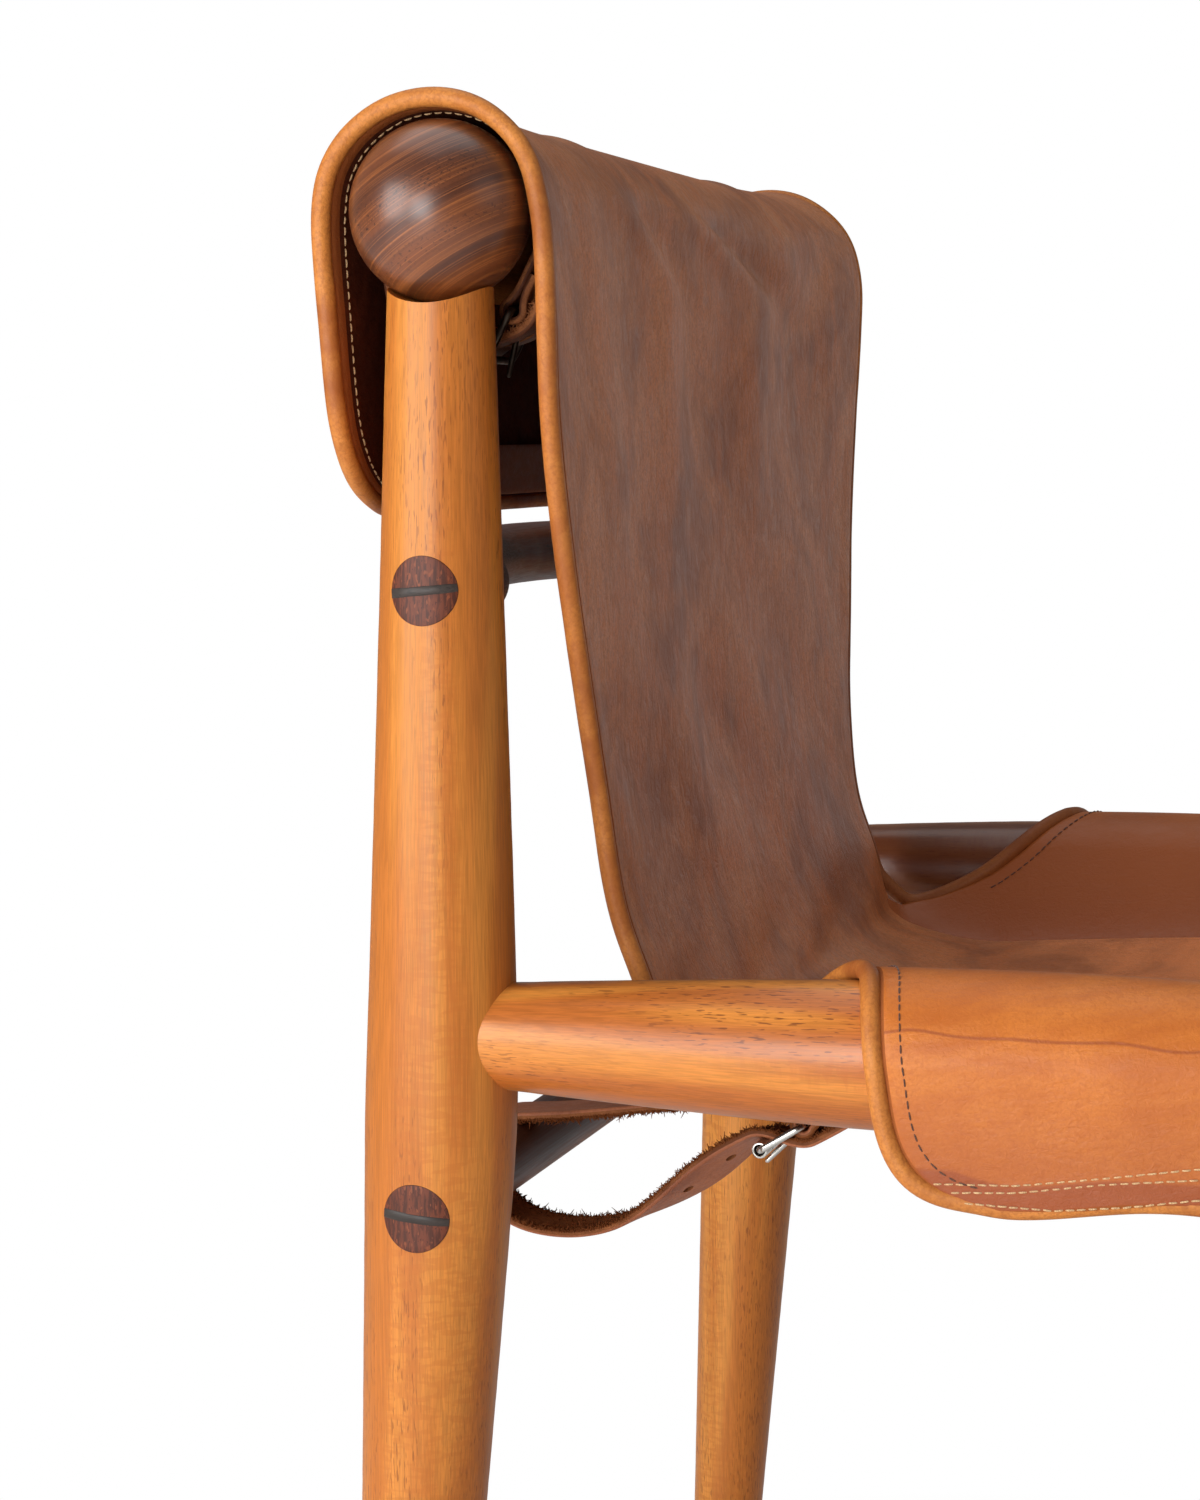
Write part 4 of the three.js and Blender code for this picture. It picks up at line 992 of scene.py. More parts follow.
@dataclass(frozen=True)
class MetalFinish:
    """Plated metal with faint smears."""

    colour: Colour
    roughness: float

    def make(self, name: str) -> bpy.types.Material:
        """The finish as a material."""
        s = Shader(name)
        smear = s.noise(s.scaled((1, 1, 1)), 160, 3, 0.5)
        s.constant(Metallic=1.0, Base_Color=self.colour)
        s.drive("Roughness", s.span(smear, 0.3, 0.7, self.roughness * 0.7, self.roughness * 1.4))
        s.relief(s.noise(s.scaled((1, 0.2, 0.2)), 1800, 1), 0.00003, 0.4)
        return s.material


class Look(Enum):
    """The chair's finishes."""

    LEG_WOOD = WoodFinish(
        srgb(226, 150, 64), srgb(184, 102, 37), srgb(116, 56, 22), Grain.Z, pore_share=0.6, coat=0.1, ripple_share=0.4
    )
    # the side rails get painted shade on their inward side from the inner colour
    RAIL_WOOD = WoodFinish(
        srgb(226, 146, 62), srgb(180, 97, 35), srgb(98, 46, 20), Grain.Y, ripple_share=0.6, figure_share=0.85,
        pore_share=0.75, roughness=0.34, coat=0.4, inner=srgb(84, 36, 15),
    )
    TOP_WOOD = WoodFinish(
        srgb(150, 90, 44), srgb(118, 66, 30), srgb(80, 44, 22), Grain.X, pore_share=0.4, roughness=0.85,
        coat=0.0, specular=0.0,
    )
    BALL_WOOD = WoodFinish(
        srgb(122, 66, 33), srgb(82, 42, 23), srgb(58, 30, 18), Grain.SAWN, tilt=30, figure_scale=44, figure_lines=16,
        figure_share=0.9, ripple_share=0.0, roughness=0.36, coat=0.75, coat_roughness=0.3, pore_share=0.9,
        pore_length=0.5, lines=srgb(168, 98, 48),
    )
    DARK_WOOD = WoodFinish(
        srgb(108, 56, 38), srgb(66, 34, 23), srgb(40, 21, 15), Grain.X, ripple_share=0.0, roughness=0.42, coat=0.1
    )
    DARK_END = EndGrainFinish(srgb(106, 51, 30), srgb(73, 35, 22), srgb(128, 65, 37))
    WEDGE_WOOD = WoodFinish(
        srgb(66, 55, 49), srgb(44, 37, 33), srgb(28, 24, 22), Grain.Y, figure_share=0.3, ripple_share=0.0, roughness=0.5
    )
    SLING_OUTSIDE = LeatherFinish(
        srgb(212, 136, 86), srgb(210, 124, 70), srgb(158, 94, 58), wrinkle_stretch=(1, 0.8, 0.5), wrinkle_depth=0.0014,
        warm_share=0.6, roughness=0.45, coat=0.03, groove_at=3.6 * MM, specular=0.36, tan=srgb(236, 142, 84),
    )
    SLING_INSIDE = LeatherFinish(
        srgb(88, 40, 21), srgb(106, 50, 27), srgb(64, 28, 15), roughness=0.8, coat=0.0, pebble=1500,
        edge_colour=srgb(156, 86, 42), edge_width=4 * MM, specular=0.15,
    )
    FLAP = LeatherFinish(
        srgb(203, 115, 42), srgb(213, 127, 51), srgb(182, 96, 33), wrinkle_stretch=(1, 0.4, 1.6), wrinkle_depth=0.0004,
        roughness=0.45, coat=0.05, worn=srgb(158, 86, 42), crease_at=439 * MM, hem=srgb(150, 72, 33),
    )
    # the piping's far colour is painted shade on the far side's cords
    PIPING = LeatherFinish(
        srgb(206, 128, 56), srgb(216, 140, 66), srgb(160, 88, 38), wrinkle_depth=0.0003, roughness=0.52, coat=0.03,
        far=srgb(112, 58, 28),
    )
    BELT = LeatherFinish(
        srgb(192, 117, 78), srgb(202, 124, 80), srgb(150, 86, 57), wrinkle_stretch=(1, 0.4, 0.4), roughness=0.5,
        coat=0.04,
    )
    BELT_FLESH = LeatherFinish(
        srgb(176, 106, 58), srgb(190, 116, 64), srgb(112, 62, 34), pebble=1600, roughness=0.95, coat=0.0, specular=0.1,
        edge_colour=srgb(128, 72, 38), edge_width=0.3 * MM,
    )
    BELT_EDGE = LeatherFinish(
        srgb(168, 104, 62), srgb(188, 118, 72), srgb(116, 68, 42), pebble=1800, roughness=0.75, coat=0.0, specular=0.15
    )
    # a darker copy of the belt leather for the back belts: painted shade inside the hood
    BACK_BELT = LeatherFinish(
        srgb(122, 72, 46), srgb(138, 82, 52), srgb(86, 48, 32), wrinkle_stretch=(1, 0.4, 0.4), roughness=0.6, coat=0.0,
        specular=0.2,
    )
    PALE_THREAD = ThreadFinish(srgb(222, 186, 136), srgb(180, 136, 92))
    DARK_THREAD = ThreadFinish(srgb(110, 66, 42), srgb(76, 46, 32))
    NICKEL = MetalFinish(srgb(214, 212, 206), 0.24)
    # a darker, rougher nickel for the back belts' buckles
    DULL_NICKEL = MetalFinish(srgb(92, 84, 74), 0.45)


@dataclass
class Palette:
    """Makes each look's material once."""

    made: dict[Look, bpy.types.Material] = field(default_factory=dict)

    def of(self, look: Look) -> bpy.types.Material:
        """The material of a look."""
        if look not in self.made:
            self.made[look] = look.value.make(look.name.lower())
        return self.made[look]


@dataclass(frozen=True)
class Plan:
    """What a piece is, apart from its shape."""

    name: str
    looks: tuple[Look, ...]
    slot: str
    replaced: tuple[str, ...] = ()
    body: str = BODY


@dataclass
class Assembly:
    """A part of the chair: build() shapes its pieces, and dress() finishes them."""

    shaped: list[tuple[Plan, Mould]] = field(default_factory=list)

    def build(self) -> None:
        """Shapes the pieces."""

    def start(self, plan: Plan) -> Mould:
        """Starts a piece and returns its empty mould."""
        mould = Mould()
        self.shaped.append((plan, mould))
        return mould

    def lone(self, name: str, look: Look, slot: str, body: str = BODY) -> Mould:
        """Starts a piece of one finish that stands for the node of its name."""
        return self.start(Plan(name, (look,), slot, (name,), body))

    def dress(self, palette: Palette) -> dict[str, bpy.types.Object]:
        """Makes the shaped pieces with their finishes.

        Args:
            palette: Where the materials come from.

        Returns:
            The pieces by name.
        """
        made = {}
        for plan, mould in self.shaped:
            piece = placed(plan.name, mould.mesh(plan.name, [palette.of(look) for look in plan.looks]))
            if plan.replaced:
                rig.replaces(piece, *plan.replaced)
            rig.slot(piece, plan.slot)
            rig.ride(piece, plan.body)
            made[plan.name] = piece
        return made


def skin(rings: Array) -> tuple[Array, Faces]:
    """A closed body through rings of points, each ring anticlockwise seen from the far end.

    Args:
        rings: Rows of points.

    Returns:
        Points and faces.
    """
    count, sides = rings.shape[:2]
    faces = grid_faces(count, sides, True)
    last = (count - 1) * sides
    faces += [tuple(reversed(range(sides))), tuple(range(last, last + sides))]
    return rings.reshape(-1, 3), faces


def turned(centres: Array, radii: Array, grain: Grain, sides: int = 72) -> tuple[Array, Faces]:
    """A turned body whose rings all face one axis.

    Args:
        centres: The ring's middles.
        radii: Their radii.
        grain: The axis.
        sides: Points in a ring.

    Returns:
        Points and faces.
    """
    angles = circle(sides)
    across, up = {
        Grain.X: ((0, 1, 0), (0, 0, 1)),
        Grain.Y: ((0, 0, 1), (1, 0, 0)),
        Grain.Z: ((1, 0, 0), (0, 1, 0)),
    }[grain]
    round_ = np.cos(angles)[:, None] * np.array(across) + np.sin(angles)[:, None] * np.array(up)
    return skin(centres[:, None] + radii[:, None, None] * round_[None])


@dataclass
class Legs(Assembly):
    """Four tapered legs; the front ones end in a low dome."""

    foot_chamfer: float = 1.5 * MM
    cope_gap: float = 0.4 * MM
    cope_starts: float = 600 * MM
    front_top: float = 466 * MM
    dome_height: float = 17 * MM
    dome_radius: float = 26.2 * MM
    turning_mark: float = 0.05 * MM
    mark_period: float = 5 * MM
    end_shares: tuple[float, ...] = (0.985, 0.9, 0.7, 0.4, 0.1)
    rings: int = 160
    dome_rings: int = 26
    sides: int = 96

    def build(self) -> None:
        """Shapes the legs."""
        for side in Side:
            self.rear(side)
            self.front(side)

    def heights(self, top: float) -> Array:
        """Ring heights from the floor, close together at the foot."""
        bevel = self.foot_chamfer * np.array([0, 0.15, 0.5, 1.0])
        return np.concatenate([bevel, np.linspace(4 * MM, top, self.rings)])

    def foot(self, heights: Array) -> Array:
        """How much a foot's rounded edge takes off the radius."""
        gone = np.clip(1 - heights / self.foot_chamfer, 0, 1)
        return self.foot_chamfer * (1 - np.sqrt(1 - gone * gone))

    def rear(self, side: Side) -> None:
        """Shapes one rear leg."""
        mould = self.lone(f"rear_leg_{side.word}", Look.LEG_WOOD, "leg_wood")
        cut = SIZES.ball_radius + self.cope_gap
        top = SIZES.ball_height - cut
        h = np.concatenate([self.heights(top), np.full(len(self.end_shares), top)])
        marks = self.turning_mark * noise_1d(h, 5 + side.value, self.mark_period)
        centres = xyz(side.value * SIZES.half_spread, SIZES.rear_leg_back(h), h)
        radii = SIZES.rear_leg_radius(h) - self.foot(h) + marks
        radii[-len(self.end_shares) :] *= self.end_shares
        points, faces = turned(centres, radii, Grain.Z, self.sides)
        away = np.minimum(np.abs(points[:, 1] - SIZES.rear_leg_back(top)), 0.99 * cut)
        saddle = cut - np.sqrt(cut**2 - away**2)
        points[:, 2] += saddle * np.clip((points[:, 2] - self.cope_starts) / (top - self.cope_starts), 0, 1)
        mould.add(points, faces)

    def front(self, side: Side) -> None:
        """Shapes one front leg with its domed top."""
        mould = self.lone(f"front_leg_{side.word}", Look.LEG_WOOD, "leg_wood")
        base = self.front_top - self.dome_height
        h = self.heights(base)
        radii = SIZES.leg_radius(h, self.dome_radius, base) - self.foot(h)
        rise = np.sin(np.linspace(0, math.pi / 2, self.dome_rings))[1:]
        h = np.concatenate([h, base + self.dome_height * rise])
        dome = self.dome_radius * np.sqrt(np.maximum(1 - rise * rise, 0))
        radii = np.concatenate([radii, np.maximum(dome, 0.2 * MM)])
        mould.add(*turned(xyz(side.value * SIZES.half_spread, -SIZES.depth, h), radii, Grain.Z, self.sides))


@dataclass
class Rails(Assembly):
    """The top rail with its ball ends, and the two cigar-shaped side rails."""

    top_radius: float = 31 * MM
    top_end_radius: float = 25 * MM
    top_full: float = 190 * MM
    top_end: float = 238.5 * MM
    side_end_radius: float = 19 * MM
    side_swell: float = 8.5 * MM
    side_start: float = 14.1 * MM
    ball_flat: float = 0.35 * MM
    ball_flat_from: float = 31 * MM
    ball_mark: float = 0.03 * MM
    rail_mark: float = 0.05 * MM
    sides: int = 96
    top_sides: int = 64

    def build(self) -> None:
        """Shapes the rails and the balls."""
        x = np.linspace(-self.top_end, self.top_end, 121)
        taper = np.clip((np.abs(x) - self.top_full) / (self.top_end - self.top_full), 0, 1)
        radii = self.top_radius + (self.top_end_radius - self.top_radius) * np.sqrt(taper)
        rail = self.lone("top_rail", Look.TOP_WOOD, "rail_wood")
        rail.add(*turned(xyz(x, 0, SIZES.ball_height), radii, Grain.X, self.top_sides))
        for side in Side:
            self.ball(side)
            self.side_rail(side)

    def ball(self, side: Side) -> None:
        """Shapes one ball, turned about the top rail's axis."""
        mould = self.lone(f"ball_end_{side.word}", Look.BALL_WOOD, "ball_wood")
        turn = np.linspace(0, math.pi, 73)[1:-1]
        offset = -SIZES.ball_radius * np.cos(turn)
        marks = self.ball_mark * noise_1d(offset + 1, 9 + side.value, 3 * MM)
        marks -= self.ball_flat * ease(np.abs(offset), self.ball_flat_from, SIZES.ball_radius)
        radii = SIZES.ball_radius * np.sin(turn) + marks * np.sin(turn)
        x = side.value * SIZES.half_spread + offset
        mould.add(*turned(xyz(x, 0, SIZES.ball_height), radii, Grain.X, self.sides))

    def side_radius(self, back: Array) -> Array:
        """Radius of a side rail at a place along it."""
        share = np.clip((-np.asarray(back, float) - self.side_start) / (SIZES.depth - 2 * self.side_start), 0, 1)
        return self.side_end_radius + self.side_swell * np.sin(math.pi * share)

    def side_rail(self, side: Side) -> None:
        """Shapes one side rail, its ends hidden in the legs."""
        mould = self.lone(f"side_rail_{side.word}", Look.RAIL_WOOD, "rail_wood")
        y = np.linspace(-SIZES.depth + self.side_start, -self.side_start, 141)
        radii = self.side_radius(y) + self.rail_mark * noise_1d(y + 1, 21 + side.value, 6 * MM)
        mould.add(*turned(xyz(side.value * SIZES.half_spread, y, SIZES.rail_height), radii, Grain.Y, self.sides))


@dataclass(frozen=True)
class TenonPlace:
    """Where a crosspiece's tenon comes out of a leg."""

    side: Side
    back: float
    height: float
    radius_at: Callable[[Array], Array]

    def surface(self, y: Array, z: Array, proud: float) -> Array:
        """Points that lie on the leg's outer face, or proud of it.

        Args:
            y: Places across the leg.
            z: Heights.
            proud: How far they stand out.

        Returns:
            The points.
        """
        radius = self.radius_at(z)
        x = SIZES.half_spread + np.sqrt(np.maximum(radius**2 - (y - self.back) ** 2, 0)) + proud
        return xyz(self.side.value * x, y, z)


@dataclass
class Crosspieces(Assembly):
    """Dark crosspieces whose tenons pass through the legs and are spread by wedges."""

    bow: float = 53 * MM
    back_rail_rise: float = 3.2 * MM
    back_rail_radius: float = 13.2 * MM
    proud: float = 0.25 * MM
    wedge_proud: float = 0.5 * MM
    wedge_thickness: float = 3.3 * MM
    wedge_depth: float = 9 * MM
    upper_tilt: float = 5.6
    lower_tilt: float = -5.2
    hidden: float = 14 * MM
    shoulder: Limits = (232 * MM, 240 * MM)
    end_shares: tuple[float, ...] = (1, 1, 0.985, 0.955, 0.8, 0.6, 0.4, 0.2, 0.05)
    end_sinks: tuple[float, ...] = (1.2, 0.3, 0.05, 0, 0, 0, 0, 0, 0)
    wedge_wander: float = 0.12 * MM
    wedge_taper: float = 0.25 * MM
    wedge_round: float = 0.8 * MM
    sides: int = 64
    out_shares: tuple[float, ...] = (0, 0.14, 0.28, 0.42, 0.55, 0.67, 0.76, 0.82, 0.87, 0.93, 0.97)
    bow_shares: tuple[float, ...] = (1, 0.971, 0.884, 0.74, 0.555, 0.338, 0.155, 0.05, 0.01, 0, 0)

    def build(self) -> None:
        """Shapes the three crosspieces and their wedges."""
        top = float(SIZES.rear_leg_back(SIZES.back_rail_height))
        low = float(SIZES.rear_leg_back(SIZES.stretcher_height))
        front = Legs()
        dome_base = front.front_top - front.dome_height
        upper = self.bowed(top)
        self.member("upper_back_rail", upper, top, SIZES.back_rail_height, SIZES.rear_leg_radius, self.upper_tilt)
        for name, back, radius_at in (
            ("lower_rear_stretcher", low, SIZES.rear_leg_radius),
            ("front_stretcher", -SIZES.depth, lambda z: SIZES.leg_radius(z, front.dome_radius, dome_base)),
        ):
            ends = np.array([[-1.0, back, SIZES.stretcher_height], [1.0, back, SIZES.stretcher_height]])
            ends[:, 0] *= SIZES.half_spread - self.hidden
            self.member(name, spaced(ends, 8 * MM), back, SIZES.stretcher_height, radius_at, self.lower_tilt)

    def bowed(self, back: float) -> Array:
        """The upper rail's middle line, bowed backwards between its tenons."""
        at = np.linspace(0, len(self.out_shares) - 1, 90)
        out = catmull(np.array(self.out_shares), at) * SIZES.half_spread
        bow = catmull(np.array(self.bow_shares), at)
        half = xyz(out, back + bow * self.bow, SIZES.back_rail_height + bow * self.back_rail_rise)
        return np.concatenate([half[:0:-1] * (-1, 1, 1), half])

    def member(
        self, name: str, path: Array, back: float, height: float, radius_at: Callable[[Array], Array], tilt: float
    ) -> None:
        """Shapes one crosspiece from leg to leg, with both its wedges.

        Args:
            name: Its name.
            path: Its middle line between the tenons, towards +X.
            back: The tenons' place along the chair.
            height: The tenons' height.
            radius_at: The leg's radius at a height.
            tilt: How its wedges lean, in degrees.
        """
        sides = self.sides
        mould = self.start(Plan(name, (Look.DARK_WOOD, Look.DARK_END), "dark_wood", (name,)))
        angles = circle(sides)
        tangents = unit(np.gradient(path, axis=0))
        across = unit(np.cross(UP, tangents))
        full = self.back_rail_radius if "back" in name else SIZES.tenon_radius
        radii = full + (SIZES.tenon_radius - full) * ease(np.abs(path[:, 0]), *self.shoulder)
        rings = path[:, None] + radii[:, None, None] * (
            across[:, None] * np.cos(angles)[None, :, None] + UP * np.sin(angles)[None, :, None]
        )
        shares = np.array(self.end_shares)
        prouds = self.proud - np.array(self.end_sinks) * MM
        ends = {}
        for side in Side:
            place = TenonPlace(side, back, height, radius_at)
            rho = SIZES.tenon_radius * shares[:, None]
            y, z = back + rho * np.cos(angles), height + rho * np.sin(angles)
            ends[side] = np.stack([place.surface(y[i], z[i], prouds[i]) for i in range(len(shares))])
            self.wedge(f"{name}_wedge_{side.word}", place, tilt)
        every = np.concatenate([ends[Side.RIGHT][::-1], rings, ends[Side.LEFT]])
        points, faces = skin(every)
        cap = len(shares) - 3
        count = len(every) - 1
        slots = [1 if i // sides < cap or i // sides >= count - cap else 0 for i in range(count * sides)]
        mould.add(points, faces, [*slots, 1, 1])

    def wedge(self, name: str, place: TenonPlace, tilt: float) -> None:
        """Shapes the outer part of one wedge, across the tenon's end.

        Args:
            name: Its name.
            place: The tenon's place.
            tilt: How it leans, in degrees; it rises towards the chair's front where that is positive.
        """
        mould = self.lone(name, Look.WEDGE_WOOD, "wedge_wood")
        lean = math.radians(tilt)
        reach = SIZES.tenon_radius * 0.985
        count = 41
        run = np.linspace(-reach, reach, count)
        half = self.wedge_thickness / 2 + self.wedge_wander * noise_1d(run + 1, len(name) + place.side.value, 3 * MM)
        half = half - self.wedge_taper * ease(-run, 6 * MM, reach)
        profile = [(-1.0, -1.0), (-1.0, 0.72), (-0.85, 0.95), (0.0, 1.0), (0.85, 0.95), (1.0, 0.72), (1.0, -1.0)]
        rings = []
        for r, h in zip(run, half):
            h = min(h, math.sqrt(max(SIZES.tenon_radius**2 - r * r, 0)) + 0.3 * MM)
            ring = []
            for across, level in profile:
                y = place.back + r * math.cos(lean) + across * h * math.sin(lean)
                z = place.height - r * math.sin(lean) + across * h * math.cos(lean)
                depth = self.wedge_proud if level > 0 else -self.wedge_depth
                out = place.surface(np.array(y), np.array(z), depth - (1 - abs(level)) * self.wedge_round)
                ring.append(out)
            rings.append(ring)
        mould.add(*skin(np.array(rings)[:, :: place.side.value]))


@dataclass
class Sling(Assembly):
    """One hide: a hood over the top rail, the back and the seat."""

    hood_radius: float = 33.8 * MM
    hood_half: float = 257.5 * MM
    seat_half: float = 200 * MM
    rear_bottom: float = 619.5 * MM
    seat_drop: float = 38 * MM
    hood_end: int = 12
    back_end: int = 20
    seat_end: int = 27
    hump: float = 1.0 * MM
    corner_shares: tuple[Limits, ...] = ((0, 0.82), (0.07, 0.905), (0.17, 0.958), (0.32, 0.988), (0.62, 1))
    edge_radius_shares: tuple[float, ...] = (1.245, 1.23, 1.18, 1.14, 1.13, 1.15, 1.18)
    back_shares: tuple[tuple[float, float, float, float], ...] = (
        (0.082, 0.0955, 0.91, 1.01), (0.085, 0.0973, 0.75, 0.994), (0.09, 0.101, 0.6, 0.953),
        (0.0955, 0.107, 0.45, 0.904), (0.1045, 0.1136, 0.3, 0.851), (0.1227, 0.126, 0.15, 0.8255),
        (0.143, 0.149, 0.05, 0.82), (0.164, 0.1635, -0.02, 0.808), (0.184, 0.182, -0.06, 0.7863),
    )
    seat_shares: tuple[tuple[float, float, float], ...] = (
        (0.225, 0.71, 0.66), (0.285, 0.87, 0.76), (0.375, 0.95, 0.7), (0.525, 0.98, 0.6), (0.725, 0.95, 0.55),
        (0.9, 0.87, 0.55), (0.966, 0.9, 0.6),
    )
    fold_places: tuple[tuple[float, float, float, float, float, float], ...] = (
        (-0.16, 0.29, 0.11, 9.8, 15.0, 4.4), (0.1, 0.29, 0.13, 10.0, 14.6, -4.2), (-0.56, 0.17, 0.08, 9.8, 14.2, 3.2),
        (-0.38, 0.17, 0.09, 10.0, 14.0, -2.8), (0.06, -0.16, 0.2, 11.8, 17.0, -3.4), (-0.76, 0.02, 0.09, 10, 15, 2.2),
        (0.5, -0.05, 0.14, 9.8, 15.0, 2.8), (0.78, -0.06, 0.1, 10, 14.5, -2.2), (-0.25, -0.1, 0.16, 12.5, 17.5, 2.8),
    )
    far_bulge: float = 5 * MM
    far_softness: float = 0.6
    far_bulge_at: Limits = (11, 1.8)
    hump_places: Limits = (-0.52, 0.46)
    hump_width: float = 0.06
    seat_wave: float = 0.9 * MM
    calm_from: Limits = (0.93, 0.985)
    hump_at: Limits = (8.4, 1.1)

    def __post_init__(self) -> None:
        """Works out the stations: middle and edge places, half width and turn."""
        rows, drop = [], SIZES.ball_height - self.rear_bottom
        for up, out in self.corner_shares:
            edge = self.hood_radius * (1.06 + (self.edge_radius_shares[0] - 1.06) * up)
            z = self.rear_bottom + up * drop
            rows.append((self.hood_radius, z, edge, z, self.hood_half * out, 8))
        for i, share in enumerate(self.edge_radius_shares):
            c, s = math.cos(math.pi * i / 6), math.sin(math.pi * i / 6)
            r, e = self.hood_radius, self.hood_radius * share
            rows.append((r * c, SIZES.ball_height + r * s, e * c, SIZES.ball_height + e * s, self.hood_half, 8))
        for i, (middle, edge, up, out) in enumerate(self.back_shares):
            z = SIZES.rail_height + up * (SIZES.ball_height - SIZES.rail_height)
            rows.append((-middle * SIZES.depth, z, -edge * SIZES.depth, z, out * SIZES.half_spread, 2.2 if i else 8))
        for forward, middle, seam in self.seat_shares:
            y, z = -forward * SIZES.depth, SIZES.rail_height
            rows.append((y, z - middle * self.seat_drop, y, z - seam * self.seat_drop, self.seat_half, 2.2))
        self.stations = np.array(rows)

    def point(self, out: Array | float, at: Array | float) -> Array:
        """The middle surface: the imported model's, softer at the far shoulder.

        Args:
            out: From -1 to 1 across it.
            at: Station numbers along it.

        Returns:
            The points.
        """
        out, at = np.broadcast_arrays(np.asarray(out, float), np.asarray(at, float))
        v = [catmull(self.stations[:, k], at.ravel()).reshape(at.shape) for k in range(6)]
        w = np.abs(out) ** (v[5] - self.far_softness * (v[5] - 2.2) * (out > 0))
        bulge = self.far_bulge * ease(out, 0, 1) * bell(at, *self.far_bulge_at)
        return xyz(out * v[4], v[0] + (v[2] - v[0]) * w - bulge, v[1] + (v[3] - v[1]) * w)

    def folds(self, out: Array, at: Array) -> Array:
        """Soft folds that hang down from the hood, as a shift along the normal."""
        total = np.zeros_like(out)
        for k, (place, slant, width, start, stop, depth) in enumerate(self.fold_places):
            drift = slant * np.clip(at - start - 0.6, 0, 1.4) + 0.02 * noise_1d(at, 40 + k, 1.3)
            bump = bell(out, place + drift, width)
            total += depth * MM * bump * ease(at, start, start + 1.1) * (1 - ease(at, stop - 2, stop))
        calm = 1 - ease(np.abs(out), *self.calm_from)
        low = self.seat_wave * np.sin(9 * out + 3 * np.sin(at)) * ease(at, 12, 14) * (1 - ease(at, 18, 21))
        humps = sum(bell(out, middle, self.hump_width) for middle in self.hump_places)
        hump = self.hump * humps * bell(at, *self.hump_at)
        return calm * (total + low + hump)

    def build(self) -> None:
        """Shapes the sling."""
        looks = (Look.SLING_OUTSIDE, Look.SLING_INSIDE)
        mould = self.start(Plan("sling", looks, "sling_leather", ("sling_hood", "sling_back", "sling_seat")))
        at = np.concatenate([np.linspace(0, 5, 50), np.linspace(5, 12, 70)[1:], np.linspace(12, 27, 170)[1:]])
        out = np.linspace(1, -1, 221)
        grid_out, grid_at = np.meshgrid(out, at)
        surface = self.point(grid_out, grid_at)
        self.flat = self.measure(surface)
        surface = surface + surface_normals(surface) * self.folds(grid_out, grid_at)[..., None]
        points, faces, slots = shell(surface, SIZES.leather, 0, 1)
        edge = (1 - np.abs(grid_out)) * self.half_at(grid_at)
        both = np.concatenate([edge.ravel(), edge.ravel()])
        rim = np.zeros(len(points) - len(both))
        mould.add(points, faces, slots, np.concatenate([both, rim]))

    def half_at(self, at: Array) -> Array:
        """Half the sling's width at a station."""
        return catmull(self.stations[:, 4], at.ravel()).reshape(at.shape)

    def measure(self, surface: Array) -> tuple[float, float, float]:
        """Flat width, length and area of a sheet's middle surface.

        Args:
            surface: Rows of its points.

        Returns:
            The three sizes.
        """
        across = np.linalg.norm(np.diff(surface, axis=1), axis=2)
        along = np.linalg.norm(np.diff(surface, axis=0), axis=2)
        area = float(((across[:-1] + across[1:]) / 2 * (along[:, :-1] + along[:, 1:]) / 2).sum())
        width, length = float(across.sum(axis=1).max()), float(along.sum(axis=0).max())
        LOG.info("flat %.3f x %.3f m, area %.4f m2", width, length, area)
        return width, length, area

    def dress(self, palette: Palette) -> dict[str, bpy.types.Object]:
        """Makes the sling and declares its sheet."""
        made = super().dress(palette)
        width, length, area = self.flat
        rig.sheet(made["sling"], flat=(width, length), held="stretched", rests_on="top_rail", area=area)
        return made


